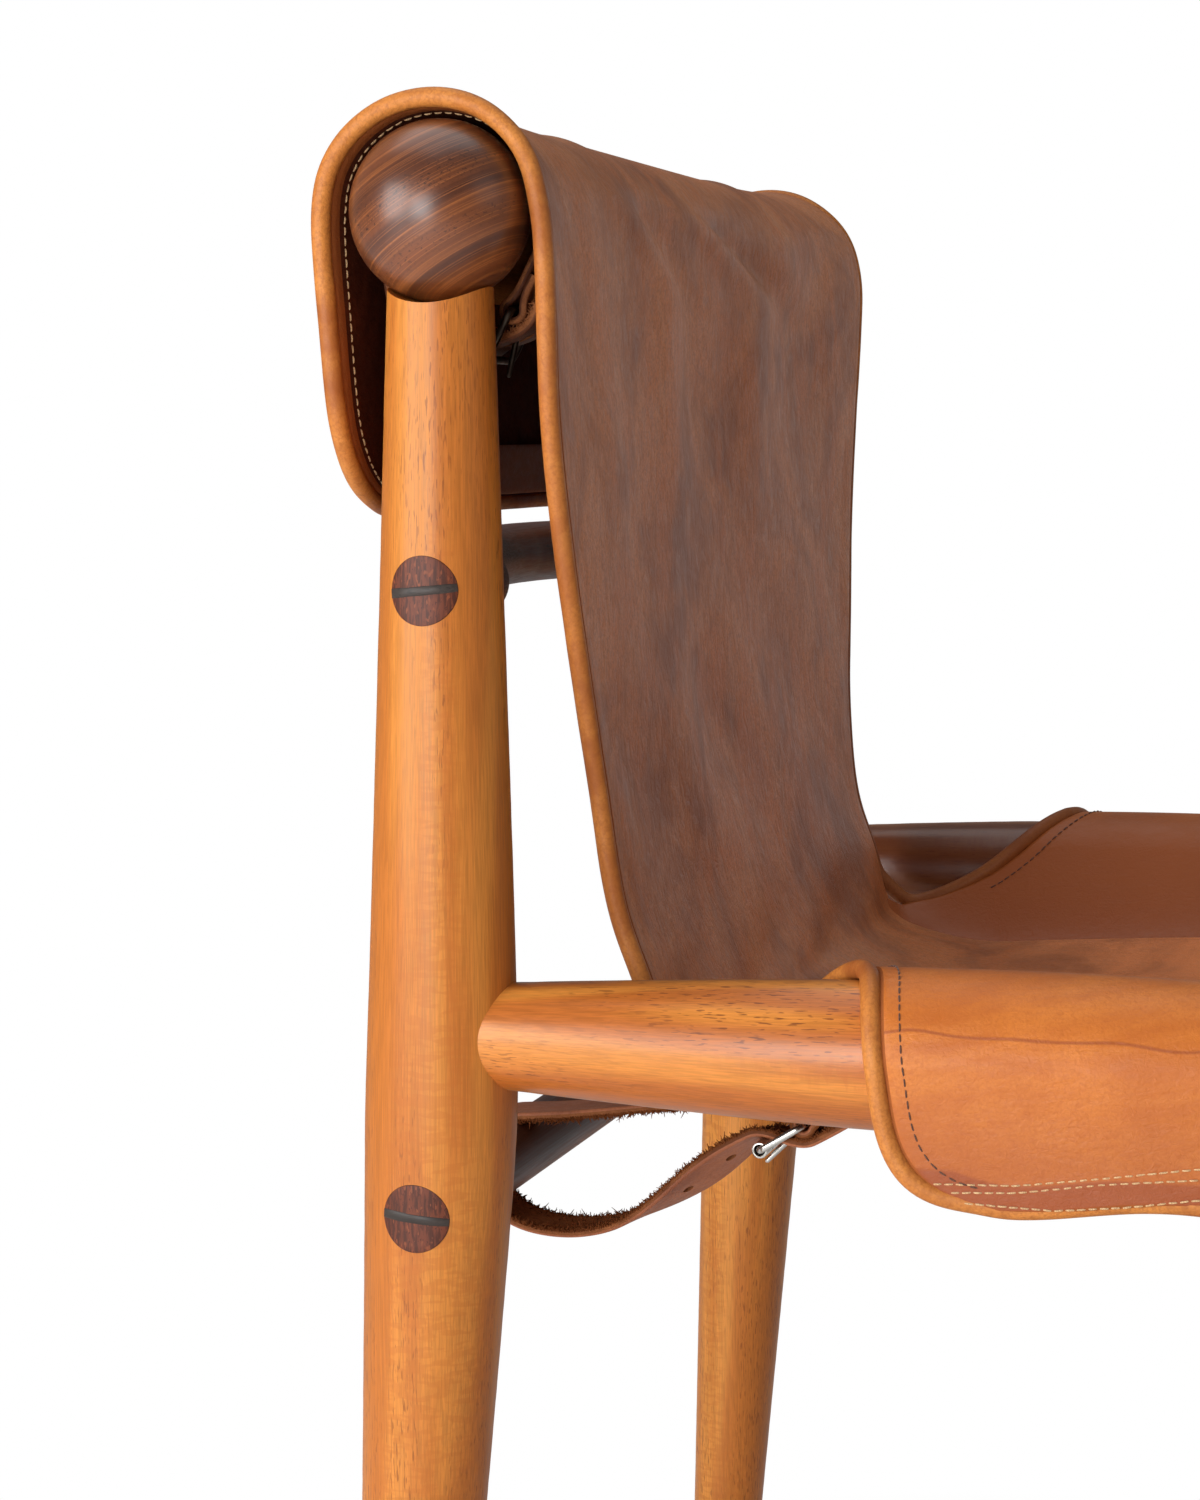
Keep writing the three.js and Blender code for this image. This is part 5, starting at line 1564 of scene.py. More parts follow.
@dataclass
class Flaps(Assembly):
    """Side flaps laid over the side rails, their hems, and the rear flap's inner band."""

    sling: Sling = field(default_factory=Sling)
    rails: Rails = field(default_factory=Rails)
    seam_gap: float = -2.5 * MM
    drop: float = 45.8 * MM
    edge_rise: float = 5.5 * MM
    corners: Limits = (0.482, 0.75)
    tangent: float = math.radians(150)
    approach: float = 24 * MM
    seam_run: Limits = (11 * MM, 4 * MM)
    hem_above: float = 4 * MM
    hem_height: float = 22 * MM
    hem_thickness: float = 2.4 * MM
    gap: float = 0.3 * MM
    hem_shares: Limits = (0.446, 0.786)
    band_half: float = 206.9 * MM
    band_height: float = 21 * MM
    band_back: float = 30.5 * MM
    band_thickness: float = 1.8 * MM
    strip_margin: float = 1 * MM
    far_from_edge: float = 99 * MM
    wave: float = 0.5 * MM
    wave_top: float = 0.3 * MM
    hang: float = 0.2 * MM
    edge_shares: tuple[tuple[float, float, float], ...] = (
        (0, 0.165, 0.964), (0.05, 0.171, 0.96), (0.1, 0.19, 0.953), (0.15, 0.221, 0.94), (0.22, 0.27, 0.917),
        (0.3, 0.312, 0.896), (0.38, 0.343, 0.88), (0.45, 0.3645, 0.868), (0.52, 0.377, 0.861), (0.62, 0.385, 0.855),
        (0.74, 0.392, 0.845), (0.86, 0.401, 0.832), (0.93, 0.416, 0.816), (0.975, 0.441, 0.791), (1, 0.482, 0.75),
    )

    @property
    def rows(self) -> int:
        """The last row number."""
        return len(self.edge_shares) - 1

    def seam_height(self, forward: Array) -> Array:
        """Height of the seat's side seam."""
        back = [(edge, up * (SIZES.ball_height - SIZES.rail_height)) for _, edge, up, _ in self.sling.back_shares[-2:]]
        seat = [(forward, -seam * self.sling.seat_drop) for forward, _, seam in self.sling.seat_shares]
        places, heights = zip(*(back + seat))
        return SIZES.rail_height + np.interp(forward, places, heights)

    def drop_at(self, back: Array) -> Array:
        """How far below the rail's axis the flap ends at a place along it."""
        rear, front = self.corners
        share = np.clip((-np.asarray(back, float) / SIZES.depth - rear) / (front - rear), 0, 1)
        return self.drop - self.edge_rise * np.sin(math.pi * share) ** 2

    def radius(self, back: Array) -> Array:
        """Radius of the flap's middle surface round the side rail."""
        return self.rails.side_radius(back) + SIZES.clearance + SIZES.leather / 2

    def point(self, side: Side, back: Array, share: Array) -> Array:
        """The middle surface by place along the rail and share of the way from seam to lower edge.

        Args:
            side: Which flap.
            back: Places along the chair.
            share: From 0 at the seam to 1 at the lower edge.

        Returns:
            The points.
        """
        back, share = (v.ravel() for v in np.broadcast_arrays(np.asarray(back, float), np.asarray(share, float)))
        radius = self.radius(back)
        under = self.seam_height(-back / SIZES.depth) + self.seam_gap
        seam = np.stack([np.full_like(back, self.sling.seat_half + self.seam_gap), under], 1)
        c, s = math.cos(self.tangent), math.sin(self.tangent)
        touch = np.stack([SIZES.half_spread + radius * c, SIZES.rail_height + radius * s], 1)
        before = touch - self.approach * np.array([s, -c])
        t = np.linspace(0, 1, 49)[None, :, None]
        after = seam + np.array(self.seam_run)
        curve = (
            (1 - t) ** 3 * seam[:, None] + 3 * (1 - t) ** 2 * t * after[:, None]
            + 3 * (1 - t) * t * t * before[:, None] + t**3 * touch[:, None]
        )
        steps = np.linalg.norm(np.diff(curve, axis=1), axis=2)
        lengths = np.concatenate([np.zeros((len(back), 1)), np.cumsum(steps, axis=1)], axis=1)
        rise, arc = lengths[:, -1], radius * self.tangent
        run = share * (rise + arc + self.drop_at(back))
        x, z = np.empty_like(run), np.empty_like(run)
        for i, r in enumerate(run):
            if r < rise[i]:
                x[i] = np.interp(r, lengths[i], curve[i, :, 0])
                z[i] = np.interp(r, lengths[i], curve[i, :, 1])
            elif r < rise[i] + arc[i]:
                angle = self.tangent - (r - rise[i]) / radius[i]
                x[i] = SIZES.half_spread + radius[i] * math.cos(angle)
                z[i] = SIZES.rail_height + radius[i] * math.sin(angle)
            else:
                x[i], z[i] = SIZES.half_spread + radius[i], SIZES.rail_height - (r - rise[i] - arc[i])
        return xyz(side.value * x, back, z)

    def at(self, side: Side, row: Array, forward: Array) -> Array:
        """The middle surface by row number and share of the way from rear edge to front edge."""
        row, forward = (v.ravel() for v in np.broadcast_arrays(np.asarray(row, float), np.asarray(forward, float)))
        table = [catmull(np.array(column, float), row) for column in zip(*self.edge_shares)]
        place = table[1] + (table[2] - table[1]) * forward
        return self.point(side, -place * SIZES.depth, table[0])

    def build(self) -> None:
        """Shapes both flaps, both hems and the band."""
        self.flat: dict[str, tuple[float, float, float]] = {}
        for side in Side:
            self.flap(side)
            self.hem(side)
        band = self.lone("rear_flap_band", Look.FLAP, "flap_leather")
        x = np.linspace(self.band_half, -self.band_half, 120)
        z = self.sling.rear_bottom + np.linspace(self.strip_margin, self.band_height - self.strip_margin, 9)
        gx, gz = np.meshgrid(x, z)
        surface = xyz(gx, self.band_back, gz)
        points, faces, _ = shell(surface, self.band_thickness)
        band.add(points, faces, 0, self.far_from_edge)

    def flap(self, side: Side) -> None:
        """Shapes one flap."""
        name = f"side_flap_{side.word}"
        mould = self.start(Plan(name, (Look.FLAP, Look.SLING_INSIDE), "flap_leather", (name,)))
        rows, columns = np.linspace(0, self.rows, 141), np.linspace(0, 1, 91)[:: side.value]
        gc, gr = np.meshgrid(columns, rows)
        surface = self.at(side, gr, gc).reshape(*gr.shape, 3)
        self.flat[name] = self.sling.measure(surface)
        hang = np.clip((gr - 8) / 6, 0, 1)
        wave = self.wave * hang * np.sin(gc * 9 + 1.3 * side.value) * np.sin(math.pi * np.clip(gc, 0, 1))
        surface = surface + surface_normals(surface) * (self.hang * hang + np.minimum(wave, self.wave_top))[..., None]
        points, faces, slots = shell(surface, SIZES.leather, 0, 1)
        edges = np.concatenate([surface[:, 0], surface[-1], surface[::-1, -1]])
        flat = surface.reshape(-1, 3)
        edge = np.min([np.linalg.norm(flat - e, axis=1) for e in edges[::2]], axis=0)
        rim = np.zeros(len(points) - 2 * len(edge))
        mould.add(points, faces, slots, np.concatenate([edge, edge, rim]))

    def hem(self, side: Side) -> None:
        """Shapes the hem inside a flap's lower edge."""
        mould = self.lone(f"flap_hem_{side.word}", Look.FLAP, "flap_leather")
        shares = np.linspace(*self.hem_shares, 60)[:: side.value]
        rows = np.linspace(self.hem_height - self.strip_margin, self.strip_margin, 9)
        gy, up = np.meshgrid(-SIZES.depth * shares, rows)
        gz = SIZES.rail_height - self.drop_at(gy) + self.hem_above + up
        inside = SIZES.half_spread + self.radius(gy) - SIZES.leather / 2 - self.gap - self.hem_thickness / 2
        surface = xyz(side.value * inside, gy, gz)
        points, faces, _ = shell(surface, self.hem_thickness - 0.1 * MM)
        mould.add(points, faces, 0, self.far_from_edge)

    def dress(self, palette: Palette) -> dict[str, bpy.types.Object]:
        made = super().dress(palette)
        for name, (width, length, area) in self.flat.items():
            rail = name.replace("side_flap", "side_rail")
            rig.sheet(made[name], flat=(width, length), held="folded", rests_on=rail, area=min(area, width * length))
        return made


Surface = Callable[[Array, Array], Array]


def edge_frame(
    point: Surface, p: Array, q: Array, outer: Callable[[Array], Array], inside: Limits
) -> tuple[Array, Array, Array]:
    """Points on a sheet's edge with the directions out of the sheet and away from it.

    Args:
        point: The sheet's middle surface.
        p: First places.
        q: Second places.
        outer: A vector on the outer side of each point.
        inside: A place well inside the sheet.

    Returns:
        The points, the outward directions and the outer normals.
    """
    at = point(p, q)
    step = 1e-3
    normal = unit(np.cross(point(p + step, q) - point(p - step, q), point(p, q + step) - point(p, q - step)))
    normal *= np.sign((normal * outer(at)).sum(axis=1))[:, None]
    out = unit(np.cross(unit(np.gradient(at, axis=0)), normal))
    middle = point(np.array([float(inside[0])]), np.array([float(inside[1])]))
    out *= np.sign((out * (at - middle)).sum(axis=1))[:, None]
    return at, out, normal


def hood_outer(at: Array) -> Array:
    """Away from the top rail."""
    return at * (0, 1, 1) - (0, 0, SIZES.ball_height - 34 * MM)


def seat_outer(at: Array) -> Array:
    """Towards the sitter."""
    return np.broadcast_to((0.0, -1.0, 1.0), at.shape)


def rear_outer(at: Array) -> Array:
    """Towards the back."""
    return np.broadcast_to((0.0, 1.0, 0.0), at.shape)


def flap_outer(side: Side) -> Callable[[Array], Array]:
    """Away from a side rail."""
    return lambda at: (at - (side.value * SIZES.half_spread, 0, SIZES.rail_height - 41 * MM)) * (1, 0, 1)


@dataclass
class Piping(Assembly):
    """Leather cords sewn along the edges."""

    sling: Sling = field(default_factory=Sling)
    flaps: Flaps = field(default_factory=Flaps)
    radius: float = 3.6 * MM
    out: float = 2.8 * MM
    proud: float = 1.4 * MM
    sunk: float = -1.4 * MM
    far_sunk: float = -1.4 * MM
    far_proud: float = -0.9 * MM
    flap_out: float = 4.8 * MM
    hem_out: float = 0.3 * MM
    hem_sunk: float = -1.6 * MM
    rail_lift: float = 0.9 * MM
    far_turn: Limits = (7.2, 8.7)
    sinks: Limits = (8.4, 11)
    joint: float = 3.5
    point_step: float = 2.2 * MM
    tightness: float = 0.02
    tight_period: float = 14 * MM
    overlap: float = 0.03
    sides: int = 20

    def centres(
        self, point: Surface, p: Array, q: Array, outer: Callable[[Array], Array], inside: Limits,
        lift: Array | float, aside: Array | float,
    ) -> Array:
        """A cord's middle line beside an edge.

        Args:
            point: The sheet's surface.
            p: First places of the edge.
            q: Second places.
            outer: A vector on the outer side.
            inside: A place well inside the sheet.
            lift: How far the cord is lifted.
            aside: How far it lies from the edge.

        Returns:
            The points.
        """
        at, out, normal = edge_frame(point, p, q, outer, inside)
        return at + out * (np.zeros(len(at)) + aside)[:, None] + normal * (np.zeros(len(at)) + lift)[:, None]

    def cord(self, name: str, path: Array, seed: int, start: bool = True, end: bool = True) -> None:
        """Shapes one cord that stands for the node of the same name.

        Args:
            name: The node's name.
            path: Its middle line.
            seed: For its small differences.
            start: Whether its start is rounded.
            end: Whether its end is rounded.
        """
        mould = self.lone(name, Look.PIPING, "piping_leather")
        path = spaced(softened(path, 1), self.point_step)
        LOG.info("cord %s %.0f mm", name, run_along(path)[-1] / MM)
        smooth = path.copy()
        for _ in range(6):
            smooth[1:-1] = (smooth[:-2] + 2 * smooth[1:-1] + smooth[2:]) / 4
        run = np.arange(len(smooth)) * self.point_step
        path, radii = domed(smooth, self.radius, start, end)
        pull = noise_1d(run, seed, self.tight_period)
        tight = np.interp(np.linspace(0, 1, len(path)), np.linspace(0, 1, len(run)), pull)
        mould.add(*tube(path, radii * (1 + self.tightness * tight), self.sides, (0.3, 0.2, 1)))

    def build(self) -> None:
        """Shapes every cord."""
        sling, flaps = self.sling, self.flaps
        t = np.linspace(0, 1, 240)
        joint, over = self.joint, self.overlap
        p = np.where(t < 0.25, -1, np.where(t > 0.75, 1, (t - 0.25) * 4 - 1))
        q = (joint + over) * np.where(t < 0.25, 1 - 4 * t, np.where(t > 0.75, 4 * t - 3, 0))
        rear = self.centres(sling.point, p, q, rear_outer, (0, 5), self.proud * ease(-p, -0.9, 0.9), self.out)
        self.cord("rear_flap_piping", rear, 1, False, False)
        across = 0.985 * (2 * t - 1)
        end = sling.seat_end + 0 * t
        front = self.centres(sling.point, across, end, seat_outer, (0, sling.hood_end), self.sunk, self.out)
        self.cord("seat_front_piping", front, 2)
        for side in Side:
            sign = side.value + 0 * t
            at = lambda row, forward, side=side: flaps.at(side, row, forward)
            outer = flap_outer(side)
            up = joint - over + (sling.hood_end - joint + over) * t
            proud = self.proud if side is Side.RIGHT else self.far_proud * (1 - ease(up, *self.far_turn))
            sunk = self.sunk if side is Side.RIGHT else self.far_sunk
            lift = proud + (sunk - proud) * ease(up, *self.sinks)
            hood = self.centres(sling.point, sign, up, hood_outer, (0, sling.hood_end), lift, self.out)
            down = sling.hood_end + 0.5 + 6.0 * t
            back = self.centres(sling.point, sign, down, seat_outer, (0, sling.back_end - 1), sunk, self.out)
            turn = ease(t, 0.1, 0.62)
            lift = sunk + (self.rail_lift - sunk) * turn
            aside = self.out + (self.flap_out - self.out) * turn
            waist = self.centres(at, 2.1 + (7 + over - 2.1) * t, 0 * t, outer, (7, 0.5), lift, aside)
            self.cord(f"back_piping_{side.word}", np.concatenate([hood, back, waist]), 3 + side.value, False, False)
            lower = flaps.rows - 0.3
            rise, fall = 7 - over + (lower - 7 + over) * t / 0.35, lower + (0.3 - lower) * (t - 0.65) / 0.35
            row = np.where(t < 0.35, rise, np.where(t > 0.65, fall, flaps.rows))
            forward = np.clip((t - 0.35) / 0.3, 0, 1)
            low = ease(row, 11.8, 14)
            aside = self.flap_out + (self.hem_out - self.flap_out) * low
            lift = self.rail_lift + (self.hem_sunk - self.rail_lift) * low
            path = self.centres(at, row, forward, outer, (7, 0.5), lift, aside)
            self.cord(f"flap_piping_{side.word}", path, 6 + side.value, False)


@dataclass
class Stitching(Assembly):
    """Rows of thread, each stitch a piece of its own sunk a little into the leather."""

    sling: Sling = field(default_factory=Sling)
    flaps: Flaps = field(default_factory=Flaps)
    length: float = 2.8 * MM
    pitch: float = 3.9 * MM
    thickness: float = 0.68 * MM
    edge_inset: float = 5.5 * MM
    hood_inset: float = 7.5 * MM
    front_squeeze: float = 0.8
    edge_lift: float = 0.12 * MM
    face_lift: float = 0.3 * MM
    hood_lift: float = 0.1 * MM
    face_rows: tuple[tuple[int, tuple[tuple[float, float], ...]], ...] = (
        (0, ((-186.6, 386.9), (-217.9, 388.2), (-248, 392.6), (-280, 397.6))),
        (0, ((-192.9, 384.2), (-217.9, 385.7), (-248.4, 390.5), (-280, 393.8))),
        (0, ((-197.5, 381), (-231, 380.3), (-255, 382.9), (-280, 386.9))),
    )

    def row(self, mould: Mould, path: Array, normals: Array, slot: int, seed: int) -> None:
        """Lays stitches along a line on a surface.

        Args:
            mould: Where they go.
            path: The line.
            normals: The surface's normals along it.
            slot: The thread's finish.
            seed: For their small differences.
        """
        rng = random.Random(seed)
        run = run_along(path)
        bend = np.array([-0.5, -0.32, 0, 0.32, 0.5])
        sink = np.array([-0.55, 0.1, 0.3, 0.1, -0.55])
        for middle in np.arange(self.pitch, run[-1] - self.pitch, self.pitch):
            at = middle + bend * self.length * rng.uniform(0.92, 1.06)
            on = read_along(path, run, at)
            normal = unit(read_along(normals, run, middle))
            aside = unit(np.cross(on[-1] - on[0], normal))
            skew = rng.uniform(-0.12, 0.12) * MM
            slant = skew * np.array([1, 0.5, 0, -0.5, -1])
            line = on + normal * (sink * self.thickness * 0.6)[:, None] + aside * slant[:, None]
            width = self.thickness / 2 * np.array([0.75, 1, 1, 1, 0.75])
            mould.add(*tube(line, width, 7, normal), slot)

    def beside_edge(self, mould: Mould, side: Side, rows: Array, forward: Array, slot: int, seed: int) -> None:
        """Lays a row that follows a flap's edge.

        Args:
            mould: Where it goes.
            side: Which flap.
            rows: Row numbers of the edge's places.
            forward: Their shares of the way forward.
            slot: The thread's finish.
            seed: For the stitches' small differences.
        """
        point = lambda row, share: self.flaps.at(side, row, share)
        at, out, normal = edge_frame(point, rows, forward, flap_outer(side), (7, 0.5))
        self.row(mould, at - out * self.edge_inset + normal * (SIZES.leather / 2 + self.edge_lift), normal, slot, seed)

    def on_face(self, mould: Mould, side: Side, places: Sequence[tuple[float, float]], slot: int, seed: int) -> None:
        """Lays a row on a flap's outer face through places (along the chair, height), and on to its front.

        Args:
            mould: Where it goes.
            side: Which flap.
            places: Places in millimetres, from the rear to the highest one.
            slot: The thread's finish.
            seed: For the stitches' small differences.
        """
        rear = np.array(places) * MM
        front = rear[-2::-1].copy()
        front[:, 0] = rear[-1, 0] + (rear[-1, 0] - front[:, 0]) * self.front_squeeze
        line = spaced(np.concatenate([rear, front]), 1.5 * MM)
        radius = self.flaps.radius(line[:, 0]) + SIZES.leather / 2 + self.face_lift
        above = np.maximum(line[:, 1] - SIZES.rail_height, 0)
        x = SIZES.half_spread + np.sqrt(radius**2 - above**2)
        normals = xyz(side.value + 0 * x, 0, 0)
        self.row(mould, xyz(side.value * x, *line.T), normals, slot, seed)

    def build(self) -> None:
        """Shapes the rows on the flaps and inside the hood's side edges."""
        t = np.linspace(0, 1, 200)
        for side in Side:
            name = f"flap_stitches_{side.word}"
            mould = self.start(Plan(name, (Look.PALE_THREAD, Look.DARK_THREAD), "flap_leather"))
            self.beside_edge(mould, side, 4 + 9.85 * t, 0 * t, 1, 11)
            self.beside_edge(mould, side, 13.85 - 9.85 * t, 0 * t + 1, 1, 12)
            for seed, (slot, places) in enumerate(self.face_rows):
                self.on_face(mould, side, places, slot, 13 + seed)
            name = f"hood_stitches_{side.word}"
            mould = self.start(Plan(name, (Look.PALE_THREAD,), "sling_leather"))
            at = 0.8 + (self.sling.hood_end + 5 - 0.8) * np.linspace(0, 1, 600)
            out = side.value * (1 - self.hood_inset / self.sling.half_at(at))
            line = self.sling.point(out, at)
            normal = unit(np.cross(self.sling.point(out - 1e-3, at) - line, self.sling.point(out, at + 1e-3) - line))
            self.row(mould, line - normal * (SIZES.leather / 2 + self.hood_lift), -normal, 0, 16)


FIBRES = {"seat": 4200, "back": 900, "under": 200}


@dataclass(frozen=True)
class Hole:
    """A hole through a strap, round or long."""

    run: float
    half_length: float
    half_width: float


@dataclass(frozen=True)
class BeltPlace:
    """Where a belt's plane stands: its points are (across, along the plane, height)."""

    centre: float
    lies_across: bool = False

    def world(self, points: Array) -> Array:
        """Points of the belt's plane, in the chair's frame."""
        if self.lies_across:
            return xyz(points[..., 1], self.centre - points[..., 0], points[..., 2])
        return points + (self.centre, 0, 0)


@dataclass(frozen=True)
class BuckleAxes:
    """A buckle's own axes in its belt's plane: along towards the far bar, outer towards the prong."""

    hinge: tuple[float, float]
    degrees: float
    flip: int

    def plane(self, a: Array | float, h: Array | float) -> Array:
        """Points of the plane at places along the buckle and outwards from it."""
        t = math.radians(self.degrees)
        a, h = np.asarray(a, float), np.asarray(h, float) * self.flip
        across, up = a * math.cos(t) - h * math.sin(t), a * math.sin(t) + h * math.cos(t)
        return np.stack([self.hinge[0] + across, self.hinge[1] + up], -1)

    def solid(self, points: Array) -> Array:
        """Points given as (across, along, outer), in the belt's plane."""
        flat = self.plane(points[..., 1], points[..., 2])
        return np.concatenate([points[..., :1] * self.flip, flat], axis=-1)


@dataclass(frozen=True)
class BeltRoute:
    """One belt's whole route: both its straps in the plane, and its buckle."""

    kind: str
    end: str
    place: BeltPlace
    axes: BuckleAxes
    short: tuple[tuple[float, float], ...]
    long: tuple[tuple[float, float], ...]
    tail: float
    has_roller: bool
    twist: float = 0
    spare_holes: tuple[float, ...] = ()


@dataclass
class Belts(Assembly):
    """Straps with their buckles: under the seat, inside the hood and from flap to flap."""

    flaps: Flaps = field(default_factory=Flaps)
    width: float = 25.4 * MM
    thickness: float = 3.5 * MM
    fold_thickness: float = 2.9 * MM
    edge_round: float = 1.1 * MM
    step: float = 1.05 * MM
    wire: float = 1.4 * MM
    buckle_length: float = 20 * MM
    buckle_half: float = 15.1 * MM
    corner: float = 3.2 * MM
    roller_radius: float = 3.2 * MM
    bore: float = 2.2 * MM
    eye_radius: float = 3.6 * MM
    eye_width: float = 4.5 * MM
    prong_radius: float = 1.2 * MM
    prong_reach: float = 25 * MM
    fold_length: float = 15 * MM
    strap_width_points: int = 27
    seat_place: float = 155 * MM
    back_place: float = 220 * MM
    stretcher_wrap: float = 14.75 * MM
    rail_wrap: float = 29.75 * MM
    under_inset: float = 7.35
    tip_round: float = 6 * MM
    roller_half: float = 13.2 * MM
    twist_from_end: float = 72 * MM
    twist_length: float = 30 * MM
    fibre_length: float = 1.7 * MM

    def routes(self) -> list[BeltRoute]:
        """Every belt's route."""
        found = []
        for side in Side:
            angles = np.radians(np.linspace(90, -25, 14))
            back = float(SIZES.rear_leg_back(SIZES.stretcher_height))
            wrap = self.stretcher_wrap
            arc = [(back + wrap * math.cos(a), SIZES.stretcher_height + wrap * math.sin(a)) for a in angles]
            top = ((-112, 389.3), (-102, 389), (-60, 383.5), (-20, 377.5))
            low = ((14, 347), (7, 336.5), (-4, 331.5), (-20, 330), (-36, 332.5), (-48, 337.5), (-65, 348.5))
            found.append(BeltRoute(
                "seat", side.word, BeltPlace(side.value * self.seat_place),
                BuckleAxes((-116 * MM, 379.28 * MM), -32, -1),
                self.metres((-139, 389), (-150, 389.3), (-195, 389.3)), (*self.metres(*top), *arc, *self.metres(*low)),
                22 * MM, True, twist=math.radians(24), spare_holes=(-29 * MM, -51 * MM, 15 * MM),
            ))
            angles = np.radians(np.linspace(50, 0, 7))
            arc = [(self.rail_wrap * math.cos(a), SIZES.ball_height + self.rail_wrap * math.sin(a)) for a in angles]
            found.append(BeltRoute(
                "back", side.word, BeltPlace(side.value * self.back_place), BuckleAxes((-20 * MM, 690 * MM), -63.4, -1),
                self.metres((-30, 713), (-30.2, 725), (-28.6, 733)),
                (*arc, *self.metres((30.4, 711), (25, 681), (11, 662), (-2, 657))), 12 * MM, False,
            ))
        for end, share in (("rear", 0.5), ("front", 0.74)):
            y = -share * SIZES.depth
            side_x = (SIZES.half_spread + float(self.flaps.radius(np.array(y)))) / MM - self.under_inset
            found.append(BeltRoute(
                "under", end, BeltPlace(y, True), BuckleAxes((70 * MM, 376 * MM), 180, 1),
                self.metres((112, 376.5), (side_x - 9, 380.5), (side_x, 389), (side_x, 404)),
                self.metres((-side_x, 404), (-side_x, 389), (9 - side_x, 380.5), (-112, 376.5), (9, 376)),
                28 * MM, False, spare_holes=(-22 * MM, 18 * MM),
            ))
        return found

    @staticmethod
    def metres(*points: tuple[float, float]) -> tuple[tuple[float, float], ...]:
        """Points in millimetres as metres."""
        return tuple((a * MM, b * MM) for a, b in points)

    def build(self) -> None:
        """Shapes every belt."""
        for route in self.routes():
            self.short_strap(route)
            self.long_strap(route)
            self.frame(route)
            self.prong(route)
            if route.has_roller:
                self.roller(route)

    def strap(
        self, mould: Mould, route: BeltRoute, path: Array, thickness: float, holes: Sequence[Hole],
        twist: Array | None = None, round_tip: bool = False, fuzz: int = 0,
    ) -> None:
        """Shapes a flat strap along a path in the belt's plane, with holes right through it.

        Args:
            mould: Where it goes.
            route: The belt.
            path: Points (along the plane, height), an even step apart.
            thickness: The strap's thickness.
            holes: Its holes.
            twist: A turn about the path at each point.
            round_tip: Whether the last end has rounded corners.
            fuzz: How many loose fibres stand on its flesh side.
        """
        rows = len(path)
        half = self.width / 2
        inner = np.linspace(-half + self.edge_round, half - self.edge_round, self.strap_width_points - 6)
        rim = half - self.edge_round * np.array([0, 0.12, 0.45])
        across = np.concatenate([-rim, inner, rim[::-1]])
        columns = len(across)
        run = run_along(path)
        LOG.info("strap %.0f x %.1f x %.1f mm", run[-1] / MM, self.width / MM, thickness / MM)
        s, w = np.meshgrid(run, across, indexing="ij")
        gone: set[tuple[int, int]] = set()
        loops = []
        pitch = inner[1] - inner[0]
        for hole in holes:
            middle = int(np.argmin(np.abs(run - hole.run)))
            a = max(1, round(hole.half_length / self.step))
            b = max(1, round(hole.half_width / pitch))
            c = columns // 2
            if middle - a < 1 or middle + a > rows - 2:
                continue
            loop = [(middle - a, c + j) for j in range(-b, b)] + [(middle + i, c + b) for i in range(-a, a)]
            loop += [(middle + a, c + j) for j in range(b, -b, -1)] + [(middle + i, c - b) for i in range(a, -a, -1)]
            straight = max(hole.half_length - hole.half_width, 0)
            for i, j in loop:
                ds, dw = (i - middle) * self.step, (j - c) * pitch
                near = max(-straight, min(straight, ds))
                angle = math.atan2(dw / (b * pitch), (ds - near) / max(a * self.step - straight, 1e-9))
                s[i, j] = run[middle] + near + hole.half_width * math.cos(angle)
                w[i, j] = hole.half_width * math.sin(angle)
            gone |= {(i, j) for i in range(middle - a, middle + a) for j in range(c - b, c + b)}
            loops.append(loop)
        if round_tip:
            left = np.clip(run[-1] - s, 0, self.tip_round)
            sunk = np.sqrt(np.maximum(self.tip_round**2 - (self.tip_round - left) ** 2, 0))
            w = w * (half - self.tip_round + sunk) / half
        line = read_along(path, run, s)
        t = unit(read_along(unit(np.gradient(path, axis=0)), run, s))
        turn = np.interp(s, run, twist) if twist is not None else np.zeros_like(s)
        out = np.clip((np.abs(w) - (half - self.edge_round)) / self.edge_round, 0, 1)
        deep = thickness / 2 - self.edge_round * (1 - np.sqrt(np.maximum(1 - out * out, 0)))
        body = []
        for face in (1, -1):
            x = w * np.cos(turn) - face * deep * np.sin(turn)
            n = w * np.sin(turn) + face * deep * np.cos(turn)
            body.append(xyz(x, line[..., 0] - n * t[..., 1], line[..., 1] + n * t[..., 0]))
        if fuzz:
            self.fuzz(mould, route.place, body[::-1], fuzz)
        points = route.place.world(np.concatenate([b.reshape(-1, 3) for b in body]))
        edge = np.concatenate([(half - np.abs(w)).ravel()] * 2)
        count = rows * columns
        faces, slots = [], []
        for i in range(rows - 1):
            for j in range(columns - 1):
                if (i, j) in gone:
                    continue
                q = (i * columns + j, i * columns + j + 1, (i + 1) * columns + j + 1, (i + 1) * columns + j)
                faces += [q, tuple(count + k for k in reversed(q))]
                slots += [0, 1]
        rim_loop = [(0, j) for j in range(columns - 1)] + [(i, columns - 1) for i in range(rows - 1)]
        rim_loop += [(rows - 1, j) for j in range(columns - 1, 0, -1)] + [(i, 0) for i in range(rows - 1, 0, -1)]
        walls = [(rim_loop, False)] + [(loop, True) for loop in loops]
        for loop, reverse in walls:
            for k, (i, j) in enumerate(loop):
                m, n = loop[(k + 1) % len(loop)]
                a, b = i * columns + j, m * columns + n
                wall = (a, count + a, count + b, b)
                faces.append(tuple(reversed(wall)) if reverse else wall)
                slots.append(2)
        mould.add(points, faces, slots, edge)

